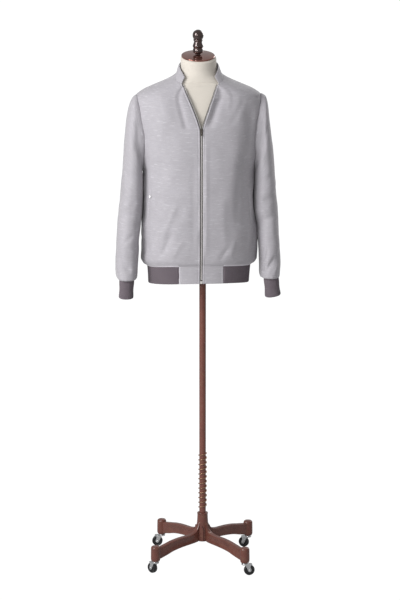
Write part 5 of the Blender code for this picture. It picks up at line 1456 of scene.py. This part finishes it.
def make_disc_and_finial():
    look = bpy.context.scene.stand
    half = DISC_THICK / 2
    profile = [(0.0, half), (0.0545, half), (0.0557, half - 0.0003), (DISC_R, half - 0.0011),
               (DISC_R, 0.0011 - half), (0.0557, 0.0003 - half), (0.0545, -half), (0.0, -half)]
    place = Matrix.Translation(DISC_CENTRE) @ Matrix.Rotation(DISC_TILT, 4, "X")
    disc = lathe("neck_disc", profile, look.sides * 2, place, 50)
    place_piece("neck_disc", disc, "copper_disc")
    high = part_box("finial")[1][2]
    rows = [(r, high - down) for down, r in FINIAL]
    rows = smooth_line(rows, 3) + [(0.0, rows[-1][1])]
    mesh = lathe("finial", rows, look.sides, Matrix.Translation((DISC_CENTRE.x, 0, 0)), 55)
    place_piece("finial", mesh, "dark_bronze")


def make_pole_and_coil():
    look = bpy.context.scene.stand
    top = FORM_BOTTOM_Z - SEAM
    profile = [(0.0, top), (POLE_R - 0.0006, top), (POLE_R, top - 0.0006),
               (POLE_R, POLE_FOOT_Z + 0.0006), (POLE_R - 0.0006, POLE_FOOT_Z),
               (0.0, POLE_FOOT_Z)]
    mesh = lathe("pole", profile, look.sides, Matrix.Translation((POLE_X, 0, 0)))
    place_piece("pole", mesh, "brown_paint")
    radius = POLE_R + COIL_WIRE_R + 0.0001
    per_turn, round_steps = 48, 12
    count = round(COIL_TURNS * per_turn)
    angle = -2 * np.pi * np.arange(count + 1) / per_turn
    ways = np.stack([np.cos(angle), np.sin(angle), 0 * angle], -1)
    z = COIL_TOP_Z - COIL_WIRE_R - COIL_PITCH * np.arange(count + 1) / per_turn
    centre = ways * radius + np.array([POLE_X, 0, 0])
    centre[:, 2] = z
    along = unit(np.gradient(centre, axis=0))
    side = np.cross(along, ways)
    turn = 2 * np.pi * np.arange(round_steps) / round_steps
    rings = (centre[:, None] + ways[:, None] * (COIL_WIRE_R * np.cos(turn))[None, :, None]
             + side[:, None] * (COIL_WIRE_R * np.sin(turn))[None, :, None])
    points, faces = rings.reshape(-1, 3).tolist(), ring_faces(count + 1, round_steps)
    for ring, way in ((0, -1), (count, 1)):
        tip = centre[ring] + along[ring] * way * COIL_WIRE_R * 0.6
        add_cap(points, faces, ring, round_steps, tip, way > 0)
    mesh = add_mesh("coil", points, faces, 60)
    outward_faces(mesh)
    # the coil wears a lighter copy of the brown paint, as painted highlight
    place_piece("coil", mesh, "brown_paint", look="coil_metal")


def outward_faces(mesh):
    """Turns a closed mesh's faces outward."""
    work = bmesh.new()
    work.from_mesh(mesh)
    bmesh.ops.recalc_face_normals(work, faces=work.faces)
    work.to_mesh(mesh)
    work.free()


def leg_section(low, high, half, hollow):
    """A cast leg's outline across: flanges above and below, and a hollow side between."""
    lip, foot, edge = 0.0075, 0.0055, 0.0022
    side = [(half - edge, high), (half, high - edge), (half, high - lip),
            (half - hollow, high - lip - 0.0030), (half - hollow, low + foot + 0.0025),
            (half, low + foot), (half, low + edge * 0.7), (half - edge * 0.7, low)]
    return side + [(-y, z) for y, z in side[::-1]]


def make_base():
    look = bpy.context.scene.stand
    rows = [(r, HUB_TOP_Z - down) for down, r in HUB]
    mesh = lathe("base_hub", smooth_line(rows, 4), look.sides,
                 Matrix.Translation((POLE_X, 0, 0)), 50)
    place_piece("base_hub", mesh, "cast_base")
    reads = [Profile(LEG[:, 0], LEG[:, k]) for k in (1, 2, 3)]
    arch = ((-0.0055, 0.0775), (0.0055, 0.0775), (0.0052, 0.1160), (0.0030, 0.1265),
            (0.0, 0.1320), (-0.0030, 0.1265), (-0.0052, 0.1160))
    ribs = []
    for _, degrees, _ in CASTERS:
        away = math.radians(degrees - 45)
        ways = Matrix(((-math.sin(away), 0, math.cos(away), POLE_X),
                       (math.cos(away), 0, math.sin(away), 0), (0, 1, 0, 0), (0, 0, 0, 1)))
        ribs.append(plate("rib", arch, 0.0150, 0.0262, 0.0016, ways))
    place_piece("base_hub_ribs", joined_mesh("base_hub_ribs", ribs), "cast_base", nodes=())
    reach = np.linspace(LEG[0, 0], LEG[-1, 0], 56)
    for name, degrees, _ in CASTERS:
        points = []
        for x in reach:
            low, high, half = (float(read(x)) for read in reads)
            hollow = 0.0015 * float(smooth_step(x, 0.03, 0.06) * (1 - smooth_step(x, 0.16, 0.19)))
            points += [(x, y, z) for y, z in leg_section(low, high, half, hollow)]
        size = len(points) // len(reach)
        faces = ring_faces(len(reach), size)
        faces += [tuple(range(size)), tuple(range((len(reach) - 1) * size, len(reach) * size))]
        bar = add_mesh("bar", points, faces, 38)
        outward_faces(bar)
        tall = BOSS_TOP_Z
        boss_rows = [(0.0, tall), (0.0100, tall), (0.0100, tall), (0.0126, tall - 0.0005),
                     (0.0148, tall - 0.0028), (0.0158, tall - 0.0060), (0.0160, tall - 0.0090),
                     (0.0165, 0.0640), (0.0163, 0.0530), (0.0157, 0.0508), (0.0157, 0.0508),
                     (0.0150, 0.0500), (0.0147, 0.0478), (0.0140, BOSS_BOTTOM_Z),
                     (0.0140, BOSS_BOTTOM_Z), (0.0, BOSS_BOTTOM_Z)]
        boss = lathe("boss", smooth_line(boss_rows, 3), look.sides,
                     Matrix.Translation((LEG_REACH, 0, 0)), 45)
        whole = joined_mesh("base_leg_" + name, [bar, boss])
        whole.transform(Matrix.Translation((POLE_X, 0, 0))
                        @ Matrix.Rotation(math.radians(degrees), 4, "Z"))
        place_piece("base_leg_" + name, whole, "cast_base")


def make_casters():
    cheek_x = WHEEL_HALF_WIDTH + CHEEK_GAP + CHEEK_WALL
    for name, degrees, trail in CASTERS:
        turn = math.radians(degrees)
        axis = Vector((POLE_X + LEG_REACH * math.cos(turn), LEG_REACH * math.sin(turn), 0))
        place = (Matrix.Translation(axis)
                 @ Matrix.Rotation(math.radians(trail - 90), 4, "Z"))
        axle = place @ Matrix.Translation((0, CASTER_TRAIL, WHEEL_FLAT_R))
        outline = [tuple(p) for p in smooth_line(list(CHEEK) + [CHEEK[0]], 5)[:-1]]
        parts = []
        for way in (-1, 1):
            near = way * (WHEEL_HALF_WIDTH + CHEEK_GAP)
            far = way * cheek_x
            upright = Matrix(((0, 0, 1, 0), (1, 0, 0, 0), (0, 1, 0, 0), (0, 0, 0, 1)))
            parts.append(plate("cheek", outline, min(near, far), max(near, far), 0.0003,
                               axle @ upright))
            cap = [(0.0, 0.0012), (0.0014, 0.0011), (0.0026, 0.0006), (0.0030, 0.0),
                   (0.0030, -0.0006), (0.0, -0.0006)]
            parts.append(lathe("rivet", smooth_line(cap, 2), 24, axle
                               @ Matrix.Translation((far, 0, 0))
                               @ Matrix.Rotation(way * math.pi / 2, 4, "Y")))
        rod = [(0.0, 0.0100), (0.0030, 0.0100), (0.0030, -0.0100), (0.0, -0.0100)]
        parts.append(lathe("axle", rod, 20, axle @ QUARTER_Y))
        crown = rounded_box(cheek_x, 0.0150, 0.0060)
        parts.append(plate("crown", crown, -0.0008, 0.0008, 0.0003, place
                           @ Matrix.Translation((0, CASTER_TRAIL - 0.0050,
                                                 WHEEL_FLAT_R + 0.0205))))
        top = BOSS_BOTTOM_Z - SEAM
        stem = [(0.0, top), (0.0085, top), (0.0085, top), (0.0092, top - 0.0010),
                (0.0096, top - 0.0022), (0.0096, top - 0.0022), (0.0112, top - 0.0028),
                (0.0118, top - 0.0042), (0.0118, WHEEL_FLAT_R + 0.0200),
                (0.0118, WHEEL_FLAT_R + 0.0200), (0.0, WHEEL_FLAT_R + 0.0200)]
        parts.append(lathe("stem", smooth_line(stem, 3), 40, place))
        mesh = joined_mesh("fork_" + name, parts)
        place_piece("fork_" + name, mesh, "bright_steel", body="fork_" + name)
        r, w = WHEEL_FLAT_R, WHEEL_HALF_WIDTH
        profile = [(0.0034, w - 0.0006), (0.0062, w - 0.0002), (0.0066, w - 0.0010),
                   (0.0066, w - 0.0010), (0.0072, w - 0.0016), (0.0130, w - 0.0016),
                   (0.0138, w - 0.0008), (0.0138, w - 0.0008), (0.0158, w - 0.0002),
                   (0.0172, w - 0.0010), (r - 0.0005, w - 0.0026), (r, w - 0.0045)]
        profile = profile + [(a, -b) for a, b in profile[::-1]]
        rows = smooth_line(profile, 3)
        rows = rows + [rows[0]]
        tyre = lathe("wheel", rows, 72, axle @ QUARTER_Y, 45)
        outward_faces(tyre)
        place_piece("wheel_" + name, tyre, "black_rubber", body="wheel_" + name)


# ---------------------------------------------------------------- studio
FLOOR_HALF = 6.0
BACKDROP = 1.05            # over 1, so that what shows behind the jacket stays white
AIM_X, LAMP_AIM_Z = 0.005, 1.25


def make_stage():
    look, scene = bpy.context.scene.studio, bpy.context.scene
    corners = [(x * FLOOR_HALF, y * FLOOR_HALF, 0.0)
               for x, y in ((-1, -1), (1, -1), (1, 1), (-1, 1))]
    floor = bpy.data.objects.new("floor", add_mesh("floor", corners, [(0, 1, 2, 3)]))
    white = Shader("pale_floor", roughness=0.9)
    x, y, z = white.place()
    mottle = white.noise(x, y, z, scale=3.0, detail=2.0)
    white.feed("Base Color", white.shade((0.5, 0.5, 0.5), mottle.step(0.3, 0.7, 0.99, 1.0)))
    seen = white.node("ShaderNodeLightPath", {}, {}, out="Is Camera Ray")
    glow = white.node("ShaderNodeEmission", {}, {"Color": (1.0, 1.0, 1.0), "Strength": BACKDROP})
    both = white.tree.nodes.new("ShaderNodeMixShader")
    white.tree.links.new(seen.socket, both.inputs[0])
    white.tree.links.new(white.surface.outputs[0], both.inputs[1])
    white.tree.links.new(glow.socket, both.inputs[2])
    white.tree.links.new(both.outputs[0], white.tree.nodes["Material Output"].inputs[0])
    floor.data.materials.append(white.material)
    scene.collection.objects.link(floor)

    world = bpy.data.worlds.new("studio")
    scene.world = world
    world.use_nodes = True
    nodes, links = world.node_tree.nodes, world.node_tree.links
    nodes["Background"].inputs["Strength"].default_value = look.fill
    bright = nodes.new("ShaderNodeBackground")
    bright.inputs["Strength"].default_value = BACKDROP
    path, mix = nodes.new("ShaderNodeLightPath"), nodes.new("ShaderNodeMixShader")
    nodes["Background"].inputs["Color"].default_value = (1.0, 1.0, 1.0, 1.0)
    bright.inputs["Color"].default_value = (1.0, 1.0, 1.0, 1.0)
    links.new(path.outputs["Is Camera Ray"], mix.inputs["Fac"])
    links.new(nodes["Background"].outputs[0], mix.inputs[1])
    links.new(bright.outputs[0], mix.inputs[2])
    links.new(mix.outputs[0], nodes["World Output"].inputs["Surface"])

    # name, place, width, watts
    lamps = (("key", (-3.8, -2.66, 3.2), 2.2, look.key), ("strip", (-1.6, -4.2, 2.2), 0.7, 40.0),
             ("back", (2.6, 3.2, 2.8), 2.0, 70.0))
    for name, place, size, power in lamps:
        data = bpy.data.lights.new(name, "AREA")
        data.shape, data.size, data.size_y = "RECTANGLE", size, size * 1.4
        data.energy = power
        lamp = bpy.data.objects.new(name, data)
        lamp.location = place
        lamp.rotation_euler = (Vector((0, 0, LAMP_AIM_Z)) - Vector(place)).to_track_quat(
            "-Z", "Y").to_euler()
        scene.collection.objects.link(lamp)

    data = bpy.data.cameras.new("camera")
    data.sensor_fit, data.sensor_height, data.lens = "VERTICAL", 24.0, look.lens
    camera = bpy.data.objects.new("camera", data)
    back = Vector((math.sin(look.azimuth), -math.cos(look.azimuth), 0))
    camera.location = Vector((AIM_X, 0, look.height)) + back * look.distance
    camera.rotation_euler = (math.pi / 2 - look.pitch, 0, look.azimuth)
    scene.collection.objects.link(camera)
    scene.camera = camera
    scene.view_settings.view_transform = "Standard"
    scene.view_settings.look = "None"


# ---------------------------------------------------------------- operators and panel
class JACKET_OT_fronts(bpy.types.Operator):
    """Build both fronts with their hem tabs and topstitching"""

    bl_idname, bl_label = "jacket.fronts", "Fronts"

    def execute(self, context):
        make_fronts()
        return {"FINISHED"}


class JACKET_OT_back(bpy.types.Operator):
    """Build the back"""

    bl_idname, bl_label = "jacket.back", "Back"

    def execute(self, context):
        make_back()
        return {"FINISHED"}


class JACKET_OT_collar(bpy.types.Operator):
    """Build the stand collar"""

    bl_idname, bl_label = "jacket.collar", "Collar"

    def execute(self, context):
        make_collar()
        return {"FINISHED"}


class JACKET_OT_sleeves(bpy.types.Operator):
    """Build both sleeves"""

    bl_idname, bl_label = "jacket.sleeves", "Sleeves"

    def execute(self, context):
        make_sleeves()
        return {"FINISHED"}


class JACKET_OT_ribs(bpy.types.Operator):
    """Build the hem rib and both cuffs"""

    bl_idname, bl_label = "jacket.ribs", "Hem rib and cuffs"

    def execute(self, context):
        make_cuffs()
        make_hem_rib()
        return {"FINISHED"}


class JACKET_OT_zip(bpy.types.Operator):
    """Build the zip's tapes, teeth, slider, pull and box"""

    bl_idname, bl_label = "jacket.zip", "Zip"

    def execute(self, context):
        make_zip()
        make_slider()
        return {"FINISHED"}


class JACKET_OT_pockets(bpy.types.Operator):
    """Build the pocket welts and the snap"""

    bl_idname, bl_label = "jacket.pockets", "Pockets"

    def execute(self, context):
        make_pockets()
        return {"FINISHED"}


class JACKET_OT_form(bpy.types.Operator):
    """Build the dress form's body"""

    bl_idname, bl_label = "jacket.form", "Form"

    def execute(self, context):
        make_form()
        return {"FINISHED"}


class JACKET_OT_neck(bpy.types.Operator):
    """Build the neck disc and the finial"""

    bl_idname, bl_label = "jacket.neck", "Disc and finial"

    def execute(self, context):
        make_disc_and_finial()
        return {"FINISHED"}


class JACKET_OT_pole(bpy.types.Operator):
    """Build the pole and its coil"""

    bl_idname, bl_label = "jacket.pole", "Pole and coil"

    def execute(self, context):
        make_pole_and_coil()
        return {"FINISHED"}


class JACKET_OT_base(bpy.types.Operator):
    """Build the hub and the four legs"""

    bl_idname, bl_label = "jacket.base", "Base"

    def execute(self, context):
        make_base()
        return {"FINISHED"}


class JACKET_OT_casters(bpy.types.Operator):
    """Build the four forks and wheels"""

    bl_idname, bl_label = "jacket.casters", "Casters"

    def execute(self, context):
        make_casters()
        return {"FINISHED"}


class JACKET_OT_stage(bpy.types.Operator):
    """Build the floor, the lights and the camera"""

    bl_idname, bl_label = "jacket.stage", "Stage"

    def execute(self, context):
        make_stage()
        return {"FINISHED"}


class JACKET_PT_panel(bpy.types.Panel):
    """Lists the pieces and their settings"""

    bl_idname, bl_label = "JACKET_PT_panel", "Jacket on a form"
    bl_space_type, bl_region_type, bl_category = "VIEW_3D", "UI", "Jacket"

    def draw(self, context):
        for group in (context.scene.jacket, context.scene.stand, context.scene.studio):
            box = self.layout.box()
            for key in group.bl_rna.properties.keys():
                if key not in ("rna_type", "name"):
                    box.prop(group, key)
        for operator in OPERATORS:
            self.layout.operator(operator.bl_idname)


OPERATORS = (JACKET_OT_fronts, JACKET_OT_back, JACKET_OT_collar, JACKET_OT_sleeves,
             JACKET_OT_ribs, JACKET_OT_zip, JACKET_OT_pockets, JACKET_OT_form, JACKET_OT_neck,
             JACKET_OT_pole, JACKET_OT_base, JACKET_OT_casters, JACKET_OT_stage)
GROUPS = (("jacket", JacketSettings), ("stand", StandSettings), ("studio", StudioSettings))


def register():
    for name, group in GROUPS:
        bpy.utils.register_class(group)
        setattr(bpy.types.Scene, name, PointerProperty(type=group))
    for thing in OPERATORS + (JACKET_PT_panel,):
        bpy.utils.register_class(thing)


def unregister():
    for thing in (JACKET_PT_panel,) + OPERATORS[::-1]:
        bpy.utils.unregister_class(thing)
    for name, group in GROUPS[::-1]:
        delattr(bpy.types.Scene, name)
        bpy.utils.unregister_class(group)


def main():
    register()
    for operator in OPERATORS:
        getattr(bpy.ops.jacket, operator.bl_idname.split(".")[1])()


if __name__ == "__main__":
    main()
